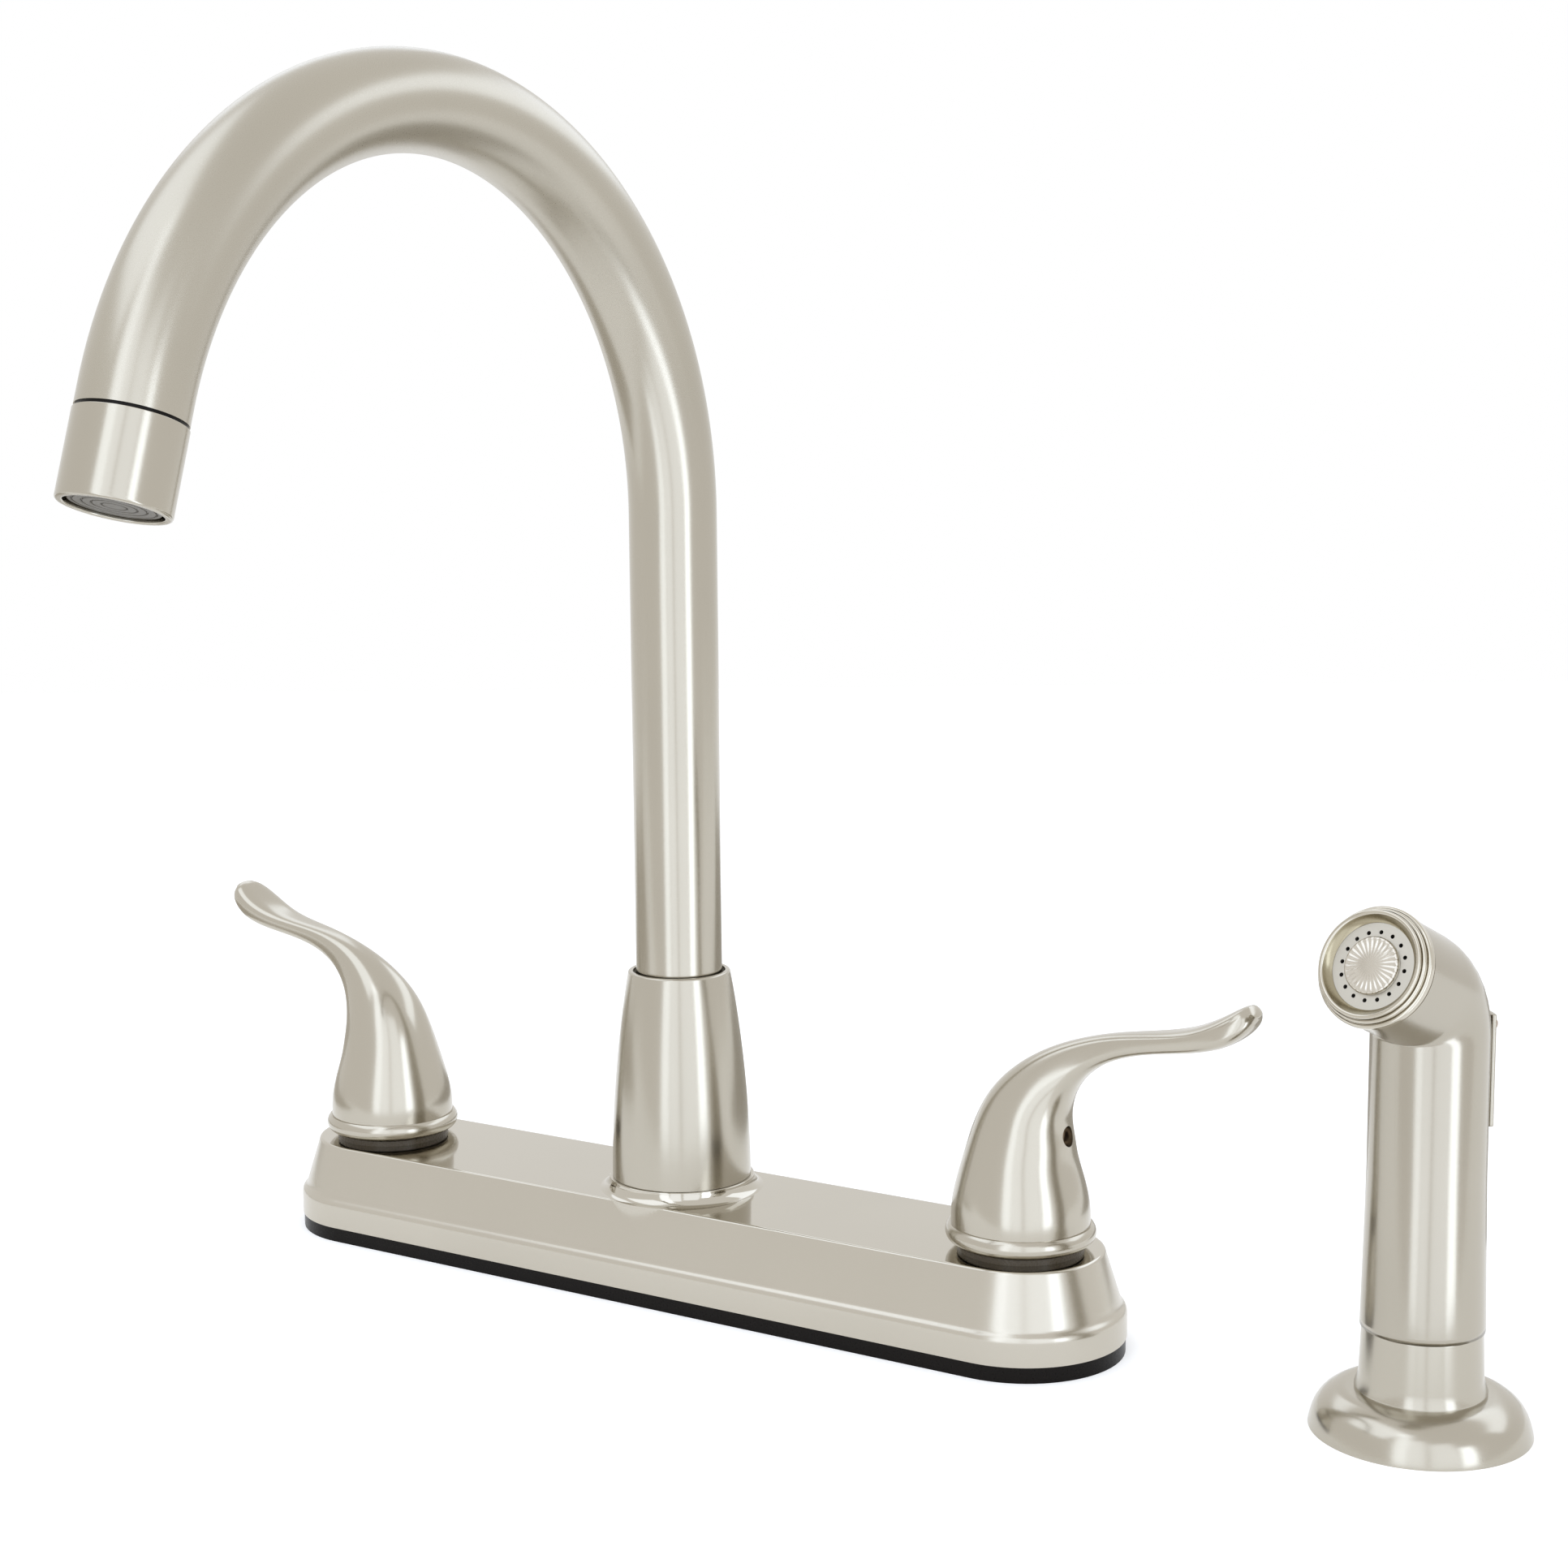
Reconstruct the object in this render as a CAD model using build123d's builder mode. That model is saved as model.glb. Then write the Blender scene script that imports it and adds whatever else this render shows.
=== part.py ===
from build123d import *
from math import atan, copysign, cos, degrees, pi, radians, sin, sqrt, tan
import os

# Side spray kitchen faucet: a two-handle deck faucet with a gooseneck spout, and a hand
# sprayer standing in its own deck holder beside it. Millimetres, +Z up. The origin is on the
# deck's surface, midway between the two valves, and -Y points at the user, under the spout.

os.makedirs("parts", exist_ok=True)

# ---------------------------------------------------------------- driving dimensions
running_clearance = 0.05  # radial play of a turning or sliding fit
seat_clearance = 0.03  # radial play of pieces that are assembled and stay put
part_gap = 0.3  # air between pieces that move past each other

# deck and the holes' pitch
deck_thickness = 20.0
valve_spread = 203.2  # between the two valve axes, 8 inches
spray_offset = 203.2  # spray hole from the spout's axis, the next deck hole but one

# deck plate and its gasket
gasket_thickness = 4.0
gasket_margin = 0.3  # the gasket stands this far inside the plate's foot
plate_height = 21.6
plate_foot_width = 52.6
plate_rim_height = 7.6
plate_rim_step = 1.4
plate_top_width = 41.4
plate_wall = 2.8
plate_edge_radius = 0.9
plate_rim_radius = 1.1
boss_height = 3.3
boss_ledge = 0.8  # boss beyond the collar's foot
boss_flare = 3.0

# waterway: valve bodies, cross tubes and centre body
shank_radius = 10.4
shank_length = 48.0
supply_end_radius = 10.1
supply_end_length = 12.0
shank_bore_radius = 6.5
valve_foot_radius = 17.0
valve_foot_height = 4.0
valve_neck_radius = 12.0
valve_neck_drop = 0.6  # neck's rim under the plate's top
cross_tube_radius = 6.35
cross_tube_wall = 1.0
cross_tube_height = 15.2
cross_tube_grip = 2.4
centre_foot_ledge = 0.9
cavity_clearance = 0.8  # over the centre body's foot
centre_neck_rise = 14.6  # neck's rim over the boss
centre_bore_radius = 9.5
centre_floor = 10.0
outlet_radius = 6.6
outlet_length = 30.0
outlet_bore_radius = 3.5
outlet_clearance = 1.4  # gasket's hole round the spray outlet
mount_washer_radius = 17.0
mount_washer_thickness = 1.5
mount_nut_flats = 30.0
mount_nut_height = 12.0

# quarter-turn cartridges
seal_thickness = 2.1
seal_bore_radius = 5.0
disc_radius = 8.2
disc_thickness = 2.5
disc_port_radius = 3.0
disc_port_offset = 4.2
cartridge_skirt_radius = 9.4
cartridge_flange_radius = 11.6
cartridge_flange_height = 1.0
cartridge_neck_radius = 8.6
cartridge_neck_height = 9.0
cartridge_window_radius = 2.9
stem_radius = 4.0
stem_foot_height = 3.7
stem_reach = 30.2  # stem's end over the handle's foot
stem_flat_depth = 1.0

# bonnet nuts
bonnet_sleeve_radius = 14.0
bonnet_flange_radius = 15.7
bonnet_flange_height = 1.4
bonnet_lip_radius = 9.0

# lever handles
handle_gap = 1.7  # handle's foot over the plate
bead_radius = 16.03
bead_thickness = 2.6
handle_cavity_radius = 14.2
handle_cavity_depth = 8.7
screw_rise = 28.0  # set screw over the handle's foot
screw_radius = 2.5
screw_length = 7.0
screw_hex_flats = 2.5
screw_hex_depth = 2.5
lever_facing = {"hot": 175.0, "cold": -1.0}  # where each lever points, in degrees about +Z
# centre line and section of the bell that runs out into the lever, from foot to tip:
# reach from the axis, height over the foot, lean from upright, half width, half depth, squareness
lever_stations = (
    (0.0, 2.7, 0.0, 17.2, 17.2, 2.0),
    (0.0, 9.7, 0.0, 17.1, 17.1, 2.0),
    (0.0, 15.7, 1.0, 15.7, 15.7, 2.0),
    (0.2, 22.2, 4.0, 13.9, 13.9, 2.0),
    (1.1, 28.3, 12.0, 12.2, 12.6, 2.0),
    (2.8, 33.9, 23.0, 11.0, 10.8, 2.0),
    (5.8, 39.0, 36.0, 9.0, 8.6, 2.2),
    (10.3, 44.0, 48.0, 6.7, 6.4, 2.4),
    (17.1, 48.7, 62.0, 4.9, 4.3, 2.6),
    (26.2, 52.3, 74.0, 4.0, 3.0, 3.0),
    (36.5, 54.4, 80.0, 4.6, 2.4, 3.2),
    (45.3, 56.1, 76.0, 5.8, 2.7, 3.2),
    (52.5, 58.4, 67.0, 6.5, 3.3, 3.0),
    (57.5, 61.1, 58.0, 6.0, 3.2, 2.8),
    (60.0, 62.9, 54.0, 4.6, 2.5, 2.6),
    (61.2, 63.8, 52.0, 2.5, 1.5, 2.4),
)
section_points = 20

# tapering collar that holds the spout down
collar_seal_thickness = 0.6
collar_foot_wall = 3.9
collar_top_wall = 1.3
collar_height = 55.0
collar_swell = 1.13  # its side bulges by this at mid height
collar_shoulder_gap = 0.4  # over the spout's flange
collar_edge_radius = 0.55
guide_wall = 0.66
guide_length = 8.3
guide_recess = 2.2

# spout
tube_radius = 11.46
tube_wall = 1.0
riser_top = 204.5
arch_radius = 94.2
arch_angle = 162.2
tube_tail = 4.2
spout_base_clearance = 0.45  # over the cross tubes' ports
spout_base_bore_radius = 6.5
spout_flange_ledge = 2.34  # flange beyond the tube
spout_flange_clearance = 0.8
spout_flange_thickness = 3.1
spout_spigot_length = 10.0
ring_rises = (4.0, 12.0)  # O-rings over the base's foot
ring_section = 2.4
ring_groove_depth = 1.4

# aerator at the spout's tip, lengths measured along the outlet
aerator_seal_thickness = 0.7
aerator_seal_inset = 0.35
aerator_margin = 0.14  # housing beyond the tube
aerator_length = 18.4
aerator_edge_radius = 0.6
aerator_wall = 2.3
aerator_insert_recess = 1.5
aerator_insert_gap = 0.5
screen_thickness = 1.4
insert_ring_count = 3
insert_ring_pitch = 2.2
insert_ring_margin = 1.2
insert_ring_height = 0.5

# diverter that sends water to the sprayer
diverter_disc_radius = 6.0
diverter_disc_thickness = 2.0
diverter_head_radius = 4.0
diverter_head_height = 8.0
diverter_stem_length = 8.0
diverter_lift = 2.0

# deck holder of the sprayer
spray_flange_radius = 25.0
spray_flange_height = 9.2
spray_flange_flat_radius = 16.5
spray_flange_wall = 2.0
holder_shank_radius = 12.0
holder_shank_length = 40.0
holder_foot_flare = 0.85  # foot beyond the waist
holder_foot_height = 0.8
holder_waist_flare = 0.45  # waist beyond the rim
holder_waist_height = 3.4
holder_rim_inset = 0.4  # rim inside the grip's foot
holder_height = 14.7
holder_bore_radius = 9.3
holder_wall_step = 7.5
holder_washer_radius = 19.0
holder_nut_flats = 32.0
holder_nut_height = 8.0

# sprayer body
spray_facing = -102.0  # the nozzle points here, in degrees about +Z
grip_foot_flare = 0.75
grip_foot_lip = 1.4
grip_waist_radius = 13.15
grip_waist_height = 60.0
elbow_height = 99.9
nozzle_rise = 23.7  # degrees over level
elbow_margin = 0.15  # bend's radius beyond the grip's
head_length = 24.0
grip_bore_radius = 6.0
grip_bore_drop = 11.9  # bore's end under the elbow
spigot_radius = 10.2
spigot_length = 15.0
passage_radius = 3.4
chamber_wall = 2.85
chamber_depth = 12.0

# nozzle parts, lengths measured along the nozzle
bezel_margin = 0.45  # band beyond the barrel
bezel_band = 2.0
bezel_neck_inset = 0.25
bezel_step = 1.2
bezel_rim_inset = 0.7
bezel_rim_wall = 0.9
bezel_mouth_flare = 1.6
bezel_spigot_length = 5.0
face_recess = 2.2
face_thickness = 1.4
spray_hole_radius = 0.48
spray_hole_margin = 1.2  # ring of holes beyond the cap
spray_hole_count = 16
cap_radius = 6.4
cap_proud = 1.1
cap_depth = 2.6
cap_flange = 0.6  # flange behind the face beyond the cap

# trigger, valve and hose end of the sprayer
trigger_margin = 0.75  # its outer radius beyond the grip's
trigger_offset = 1.2
trigger_thickness = 1.2
trigger_edge = 8.9
trigger_drop = 3.9  # its top under the elbow
trigger_length = 26.0
trigger_pull = 1.6  # how far its lower end travels
recess_overtravel = 1.9
recess_end_gap = 0.7  # the tilting trigger's ends need more than part_gap
pivot_drop = 2.5  # pin under the trigger's top
pivot_setback = 10.6
pin_radius = 1.0
plunger_drop = 14.0  # plunger under the trigger's top
plunger_radius = 2.0
plunger_disc_radius = 3.6
plunger_disc_thickness = 2.0
plunger_nose = 2.5
spring_turns = 2.5
spring_pitch = 1.1
spring_radius = 2.6
spring_wire_radius = 0.25
gland_length = 1.9
gland_radius = 3.25
gland_setback = 6.6
coupling_collar_radius = 8.5
coupling_collar_height = 8.0
coupling_length = 14.0
coupling_barb_radius = 5.2
coupling_bore_radius = 3.0
coupling_thread_length = 9.0

# ---------------------------------------------------------------- places worked out from them
gasket_top = gasket_thickness
plate_top = gasket_top + plate_height
boss_top = plate_top + boss_height
rim_top = gasket_top + plate_rim_height
washer_top = -deck_thickness
washer_bottom = washer_top - mount_washer_thickness

valve_foot_top = gasket_top + valve_foot_height
valve_top = plate_top - valve_neck_drop
cartridge_bore_radius = cartridge_skirt_radius + seat_clearance
disc_pocket_radius = disc_radius + running_clearance
seal_top = valve_foot_top + seal_thickness
fixed_disc_top = seal_top + disc_thickness
moving_disc_bottom = fixed_disc_top + running_clearance
moving_disc_top = moving_disc_bottom + disc_thickness
stem_foot_top = moving_disc_top + stem_foot_height
pocket_top = stem_foot_top + part_gap
cartridge_flange_top = valve_top + cartridge_flange_height
cartridge_top = cartridge_flange_top + cartridge_neck_height
bonnet_top = plate_top + bonnet_flange_height
handle_foot = plate_top + handle_gap
handle_cavity_top = handle_foot + handle_cavity_depth
screw_height = handle_foot + screw_rise
stem_top = handle_foot + stem_reach
bonnet_sleeve_bottom = cross_tube_height + cross_tube_radius + part_gap

spout_flange_radius = tube_radius + spout_flange_ledge
centre_neck_radius = spout_flange_radius + spout_flange_clearance
centre_foot_radius = centre_neck_radius + centre_foot_ledge
collar_foot_radius = centre_neck_radius + collar_foot_wall
boss_radius = collar_foot_radius + boss_ledge
collar_lip_radius = tube_radius + running_clearance + guide_wall + seat_clearance
collar_top_radius = collar_lip_radius + collar_top_wall
aerator_radius = tube_radius + aerator_margin

collar_bottom = boss_top + collar_seal_thickness
collar_top = collar_bottom + collar_height
collar_bore_radius = tube_radius + 0.4
guide_top = collar_top - guide_recess
guide_bottom = guide_top - guide_length
centre_foot_top = gasket_top + plate_height - plate_wall - cavity_clearance
centre_neck_top = boss_top + centre_neck_rise
flange_bottom = centre_neck_top + part_gap
flange_top = flange_bottom + spout_flange_thickness
collar_shoulder = flange_top + collar_shoulder_gap
spout_base_bottom = cross_tube_height + cross_tube_radius + spout_base_clearance
ring_heights = [spout_base_bottom + rise for rise in ring_rises]
spigot_top = flange_top + spout_spigot_length
spout_base_radius = centre_bore_radius - running_clearance

tube_bore_radius = tube_radius - tube_wall
arch_end = radians(arch_angle)
outlet_direction = Vector(0, -sin(arch_end), cos(arch_end))
arch_end_point = Vector(0, -arch_radius * (1 - cos(arch_end)), riser_top + arch_radius * sin(arch_end))
seam = tube_tail + aerator_seal_thickness
aerator_tip = seam + aerator_length

flange_hole_radius = holder_shank_radius + part_gap
grip_foot_radius = grip_waist_radius + grip_foot_flare
holder_rim_radius = grip_foot_radius - holder_rim_inset
holder_waist_radius = holder_rim_radius + holder_waist_flare
holder_foot_radius = holder_waist_radius + holder_foot_flare
holder_socket_radius = spigot_radius + part_gap
holder_foot = spray_flange_height
holder_rim = holder_foot + holder_height
grip_foot = holder_rim + part_gap
spigot_bottom = grip_foot - spigot_length
nozzle_angle = radians(nozzle_rise)
elbow_turn = 90 - nozzle_rise
elbow_radius = grip_waist_radius + elbow_margin
elbow_tangent = elbow_radius * tan(radians(elbow_turn) / 2)
elbow_start = elbow_height - elbow_tangent
grip_bore_top = elbow_height - grip_bore_drop
chamber_radius = grip_waist_radius - chamber_wall
bezel_radius = grip_waist_radius + bezel_margin
bezel_neck_radius = grip_waist_radius - bezel_neck_inset
bezel_rim_radius = bezel_neck_radius - bezel_rim_inset
bezel_mouth_radius = bezel_rim_radius - bezel_rim_wall
bezel_seat_radius = bezel_mouth_radius - bezel_mouth_flare
spray_hole_circle = cap_radius + spray_hole_margin
bezel_front = head_length + 0.6 + bezel_band + 2 * bezel_step
face_front = bezel_front - face_recess
face_back = face_front - face_thickness
trigger_radius = grip_waist_radius + trigger_margin
trigger_top = elbow_height - trigger_drop
trigger_bottom = trigger_top - trigger_length
pivot_height = trigger_top - pivot_drop
plunger_height = trigger_top - plunger_drop
pull_angle = degrees(atan(trigger_pull / (pivot_height - trigger_bottom)))


def upright(x, facing=0.0):
    """Plane standing on (x, 0): its x axis runs out level at the facing angle, its y axis goes up."""
    out_x, out_y = cos(radians(facing)), sin(radians(facing))
    return Plane(origin=(x, 0, 0), x_dir=(out_x, out_y, 0), z_dir=(out_y, -out_x, 0))


def spin(outline, plane, mode=Mode.ADD):
    """Turn a closed outline of (radius, height) points about the plane's upright axis."""
    with BuildSketch(plane) as section:
        with BuildLine():
            Polyline(*outline, close=True)
        make_face()
    revolve(section.sketch, axis=Axis(plane.origin, plane.y_dir), mode=mode)


def bore(radius, low, high, plane):
    """Round hole along the plane's upright axis, between two heights."""
    spin([(0, low), (radius, low), (radius, high), (0, high)], plane, Mode.SUBTRACT)


def slab(width, bottom, height, taper=0.0, mode=Mode.ADD):
    """Long plate with round ends about the two valve axes, its sides leaning in by the taper."""
    with BuildSketch(Plane.XY.offset(bottom)) as outline:
        SlotCenterToCenter(valve_spread, width)
    extrude(outline.sketch, amount=height, taper=taper, mode=mode)


def nut(flats, bore_radius, bottom, height, x):
    """Hexagon nut round an upright shank."""
    with BuildSketch(Plane(origin=(x, 0, bottom))) as outline:
        RegularPolygon(flats / 2, 6, major_radius=False)
        Circle(bore_radius, mode=Mode.SUBTRACT)
    extrude(outline.sketch, amount=height)


def washer(radius, bore_radius, bottom, thickness, x):
    """Flat ring round an upright shank."""
    with BuildSketch(Plane(origin=(x, 0, bottom))) as outline:
        Circle(radius)
        Circle(bore_radius, mode=Mode.SUBTRACT)
    extrude(outline.sketch, amount=thickness)


middle = upright(0)

# ---------------------------------------------------------------- deck gasket
# One moulded black rubber pad under the whole plate, holed for the shanks and the spray outlet.
with BuildPart() as deck_gasket:
    slab(plate_foot_width - 2 * gasket_margin, 0, gasket_thickness)
    for x in (-valve_spread / 2, valve_spread / 2):
        bore(shank_radius + part_gap, -1, gasket_thickness + 1, upright(x))
    bore(outlet_radius + outlet_clearance, -1, gasket_thickness + 1, middle)
deck_gasket.part.label = "deck_gasket"
export_step(deck_gasket.part, "parts/deck_gasket.step")

# ---------------------------------------------------------------- deck plate
# Cast cover: an upright rim, sides that lean in to a flat top, and a flared boss in the middle.
slope_height = plate_top - rim_top
slope_foot_width = plate_foot_width - 2 * plate_rim_step
slope_taper = degrees(atan((slope_foot_width - plate_top_width) / 2 / slope_height))
cavity_height = plate_height - plate_wall
cavity_width = plate_foot_width - 2 * plate_wall
cavity_taper = degrees(atan((plate_foot_width - plate_top_width) / 2 / cavity_height))
with BuildPart() as deck_plate:
    slab(plate_foot_width, gasket_top, plate_rim_height)
    fillet(deck_plate.edges().group_by(Axis.Z)[-1], plate_rim_radius)
    slab(slope_foot_width, rim_top, slope_height, slope_taper)
    fillet(deck_plate.edges().group_by(Axis.Z)[-1], plate_edge_radius)
    flare_top = plate_top + boss_flare
    flare_dip = boss_flare * (1 - sqrt(0.5))
    with BuildSketch(middle) as boss_outline:
        with BuildLine():
            Polyline((boss_radius, flare_top), (boss_radius, boss_top), (0, boss_top),
                     (0, rim_top), (boss_radius + boss_flare, rim_top),
                     (boss_radius + boss_flare, plate_top))
            ThreePointArc((boss_radius + boss_flare, plate_top),
                          (boss_radius + flare_dip, plate_top + flare_dip),
                          (boss_radius, flare_top))
        make_face()
    revolve(boss_outline.sketch, axis=Axis.Z)
    slab(cavity_width, gasket_top, cavity_height, cavity_taper, Mode.SUBTRACT)
    for x in (-valve_spread / 2, valve_spread / 2):
        bore(bonnet_sleeve_radius + part_gap, gasket_top, plate_top + 1, upright(x))
    bore(centre_neck_radius + part_gap, gasket_top, boss_top + 1, middle)
deck_plate.part.label = "deck_plate"
export_step(deck_plate.part, "parts/deck_plate.step")

# ---------------------------------------------------------------- centre body
# Brass tee: takes both cross tubes, the spout's base from above and the spray outlet below.
with BuildPart() as centre_body:
    spin([(outlet_bore_radius, -outlet_length), (outlet_radius, -outlet_length),
          (outlet_radius, gasket_top), (centre_foot_radius, gasket_top),
          (centre_foot_radius, centre_foot_top), (centre_neck_radius, centre_foot_top),
          (centre_neck_radius, centre_neck_top), (centre_bore_radius, centre_neck_top),
          (centre_bore_radius, centre_floor), (outlet_bore_radius, centre_floor)], middle)
    with BuildSketch(Plane.YZ) as port:
        with Locations((0, cross_tube_height)):
            Circle(cross_tube_radius + seat_clearance)
    extrude(port.sketch, amount=centre_foot_radius + 1, both=True, mode=Mode.SUBTRACT)
centre_body.part.label = "centre_body"
export_step(centre_body.part, "parts/centre_body.step")

# ---------------------------------------------------------------- the two valves, hot then cold
for side, sign in (("hot", -1), ("cold", 1)):
    valve_x = sign * valve_spread / 2
    stand = upright(valve_x)
    lever_plane = upright(valve_x, lever_facing[side])

    # Brass valve body: threaded shank through the deck, foot on the gasket, neck for the nut.
    with BuildPart() as valve_body:
        supply_end_top = supply_end_length - shank_length
        spin([(shank_bore_radius, -shank_length), (supply_end_radius, -shank_length),
              (supply_end_radius, supply_end_top), (shank_radius, supply_end_top),
              (shank_radius, gasket_top), (valve_foot_radius, gasket_top),
              (valve_foot_radius, valve_foot_top), (valve_neck_radius, valve_foot_top),
              (valve_neck_radius, valve_top), (cartridge_bore_radius, valve_top),
              (cartridge_bore_radius, valve_foot_top), (shank_bore_radius, valve_foot_top)], stand)
        with BuildSketch(Plane.YZ.offset(valve_x)) as port:
            with Locations((0, cross_tube_height)):
                Circle(cross_tube_radius + seat_clearance)
        extrude(port.sketch, amount=-sign * (valve_neck_radius + 1), mode=Mode.SUBTRACT)
    valve_body.part.label = f"{side}_valve_body"
    export_step(valve_body.part, f"parts/{side}_valve_body.step")

    # Copper tube from the valve to the centre body, let into both walls.
    tube_inner_end = centre_foot_radius - 2 * cross_tube_grip
    tube_outer_end = valve_spread / 2 - valve_neck_radius + cross_tube_grip
    with BuildPart() as cross_tube:
        with BuildSketch(Plane.YZ.offset(sign * tube_inner_end)) as ring:
            with Locations((0, cross_tube_height)):
                Circle(cross_tube_radius)
                Circle(cross_tube_radius - cross_tube_wall, mode=Mode.SUBTRACT)
        extrude(ring.sketch, amount=sign * (tube_outer_end - tube_inner_end))
    cross_tube.part.label = f"{side}_cross_tube"
    export_step(cross_tube.part, f"parts/{side}_cross_tube.step")

    # Rubber seal between the valve's floor and the fixed disc.
    with BuildPart() as seat_seal:
        washer(disc_radius, seal_bore_radius, valve_foot_top, seal_thickness, valve_x)
    seat_seal.part.label = f"{side}_seat_seal"
    export_step(seat_seal.part, f"parts/{side}_seat_seal.step")

    # Pair of ceramic discs, each with two ports; the upper one turns with the stem.
    for disc_name, disc_bottom, port_turn in (("fixed_disc", seal_top, 0),
                                              ("moving_disc", moving_disc_bottom, 90)):
        with BuildPart() as disc:
            with BuildSketch(Plane(origin=(valve_x, 0, disc_bottom))) as face:
                Circle(disc_radius)
                with PolarLocations(disc_port_offset, 2, port_turn):
                    Circle(disc_port_radius, mode=Mode.SUBTRACT)
            extrude(face.sketch, amount=disc_thickness)
        disc.part.label = f"{side}_{disc_name}"
        export_step(disc.part, f"parts/{side}_{disc_name}.step")

    # Cartridge shell: skirt in the valve body, flange on its mouth, neck round the stem.
    with BuildPart() as cartridge:
        spin([(disc_pocket_radius, seal_top), (cartridge_skirt_radius, seal_top),
              (cartridge_skirt_radius, valve_top), (cartridge_flange_radius, valve_top),
              (cartridge_flange_radius, cartridge_flange_top),
              (cartridge_neck_radius, cartridge_flange_top), (cartridge_neck_radius, cartridge_top),
              (stem_radius + running_clearance, cartridge_top),
              (stem_radius + running_clearance, pocket_top), (disc_pocket_radius, pocket_top)], stand)
        with BuildSketch(Plane.YZ.offset(valve_x)) as window:
            with Locations((0, cross_tube_height)):
                Circle(cartridge_window_radius)
        extrude(window.sketch, amount=cartridge_skirt_radius + 1, both=True, mode=Mode.SUBTRACT)
    cartridge.part.label = f"{side}_cartridge"
    export_step(cartridge.part, f"parts/{side}_cartridge.step")

    # Brass stem: a foot that drives the upper disc, a round shaft and a flat for the set screw.
    with BuildPart() as stem:
        spin([(0, moving_disc_top), (disc_radius - part_gap, moving_disc_top),
              (disc_radius - part_gap, stem_foot_top), (stem_radius, stem_foot_top),
              (stem_radius, stem_top), (0, stem_top)], stand)
        with BuildSketch(lever_plane) as flat:
            with Locations((stem_radius, (handle_cavity_top + stem_top) / 2)):
                Rectangle(2 * stem_flat_depth, stem_top - handle_cavity_top)
        extrude(flat.sketch, amount=stem_radius, both=True, mode=Mode.SUBTRACT)
    stem.part.label = f"{side}_stem"
    export_step(stem.part, f"parts/{side}_stem.step")

    # Bonnet nut: screws on the valve's neck, holds the cartridge and clamps the deck plate.
    with BuildPart() as bonnet_nut:
        thread_radius = valve_neck_radius + seat_clearance
        spin([(thread_radius, bonnet_sleeve_bottom), (bonnet_sleeve_radius, bonnet_sleeve_bottom),
              (bonnet_sleeve_radius, plate_top), (bonnet_flange_radius, plate_top),
              (bonnet_flange_radius, bonnet_top), (bonnet_lip_radius, bonnet_top),
              (bonnet_lip_radius, cartridge_flange_top), (thread_radius, cartridge_flange_top)], stand)
    bonnet_nut.part.label = f"{side}_bonnet_nut"
    export_step(bonnet_nut.part, f"parts/{side}_bonnet_nut.step")

    # Lever handle: cast bell that leans over into a flat curved lever, with a bead at its foot.
    with BuildPart() as handle:
        sections = []
        for reach, height, lean, half_width, half_depth, squareness in lever_stations:
            centre = lever_plane.from_local_coords((reach, handle_foot + height, 0))
            along = lever_plane.x_dir * sin(radians(lean)) + lever_plane.y_dir * cos(radians(lean))
            rim = []
            for step in range(section_points):
                angle = 2 * pi * step / section_points
                wide = copysign(abs(cos(angle)) ** (2 / squareness), cos(angle))
                deep = copysign(abs(sin(angle)) ** (2 / squareness), sin(angle))
                rim.append((half_width * wide, half_depth * deep))
            with BuildSketch(Plane(origin=centre, x_dir=lever_plane.z_dir, z_dir=along)) as section:
                with BuildLine():
                    Spline(*rim, periodic=True)
                make_face()
            sections.append(section.sketch)
        loft(sections)
        with BuildSketch(lever_plane) as bead:
            with Locations((bead_radius, handle_foot + bead_thickness)):
                Circle(bead_thickness)
            with Locations((bead_radius / 2, handle_foot + bead_thickness)):
                Rectangle(bead_radius, 2 * bead_thickness)
        revolve(bead.sketch, axis=Axis(lever_plane.origin, lever_plane.y_dir))
        bore(handle_cavity_radius, handle_foot - 1, handle_cavity_top, lever_plane)
        bore(stem_radius + seat_clearance, handle_cavity_top, stem_top + part_gap, lever_plane)
        with BuildSketch(Plane(origin=lever_plane.from_local_coords((0, screw_height, 0)),
                               x_dir=lever_plane.z_dir, z_dir=lever_plane.x_dir)) as screw_hole:
            Circle(screw_radius + seat_clearance)
        extrude(screw_hole.sketch, amount=2 * lever_stations[0][3], mode=Mode.SUBTRACT)
    handle.part.label = f"{side}_handle"
    export_step(handle.part, f"parts/{side}_handle.step")

    # Headless set screw that grips the stem's flat, with a hexagon socket.
    with BuildPart() as set_screw:
        screw_start = stem_radius - stem_flat_depth
        tip_plane = Plane(origin=lever_plane.from_local_coords((screw_start, screw_height, 0)),
                          x_dir=lever_plane.z_dir, z_dir=lever_plane.x_dir)
        with BuildSketch(tip_plane) as shank:
            Circle(screw_radius)
        extrude(shank.sketch, amount=screw_length)
        with BuildSketch(tip_plane.offset(screw_length)) as socket:
            RegularPolygon(screw_hex_flats / 2, 6, major_radius=False)
        extrude(socket.sketch, amount=-screw_hex_depth, mode=Mode.SUBTRACT)
    set_screw.part.label = f"{side}_set_screw"
    export_step(set_screw.part, f"parts/{side}_set_screw.step")

# ---------------------------------------------------------------- fasteners under the deck
with BuildPart() as mount_washers:
    for x in (-valve_spread / 2, valve_spread / 2):
        washer(mount_washer_radius, shank_radius + seat_clearance, washer_bottom,
               mount_washer_thickness, x)
mount_washers.part.label = "mount_washers"
export_step(mount_washers.part, "parts/mount_washers.step")

with BuildPart() as mount_nuts:
    for x in (-valve_spread / 2, valve_spread / 2):
        nut(mount_nut_flats, shank_radius + seat_clearance, washer_bottom - mount_nut_height,
            mount_nut_height, x)
mount_nuts.part.label = "mount_nuts"
export_step(mount_nuts.part, "parts/mount_nuts.step")

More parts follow.
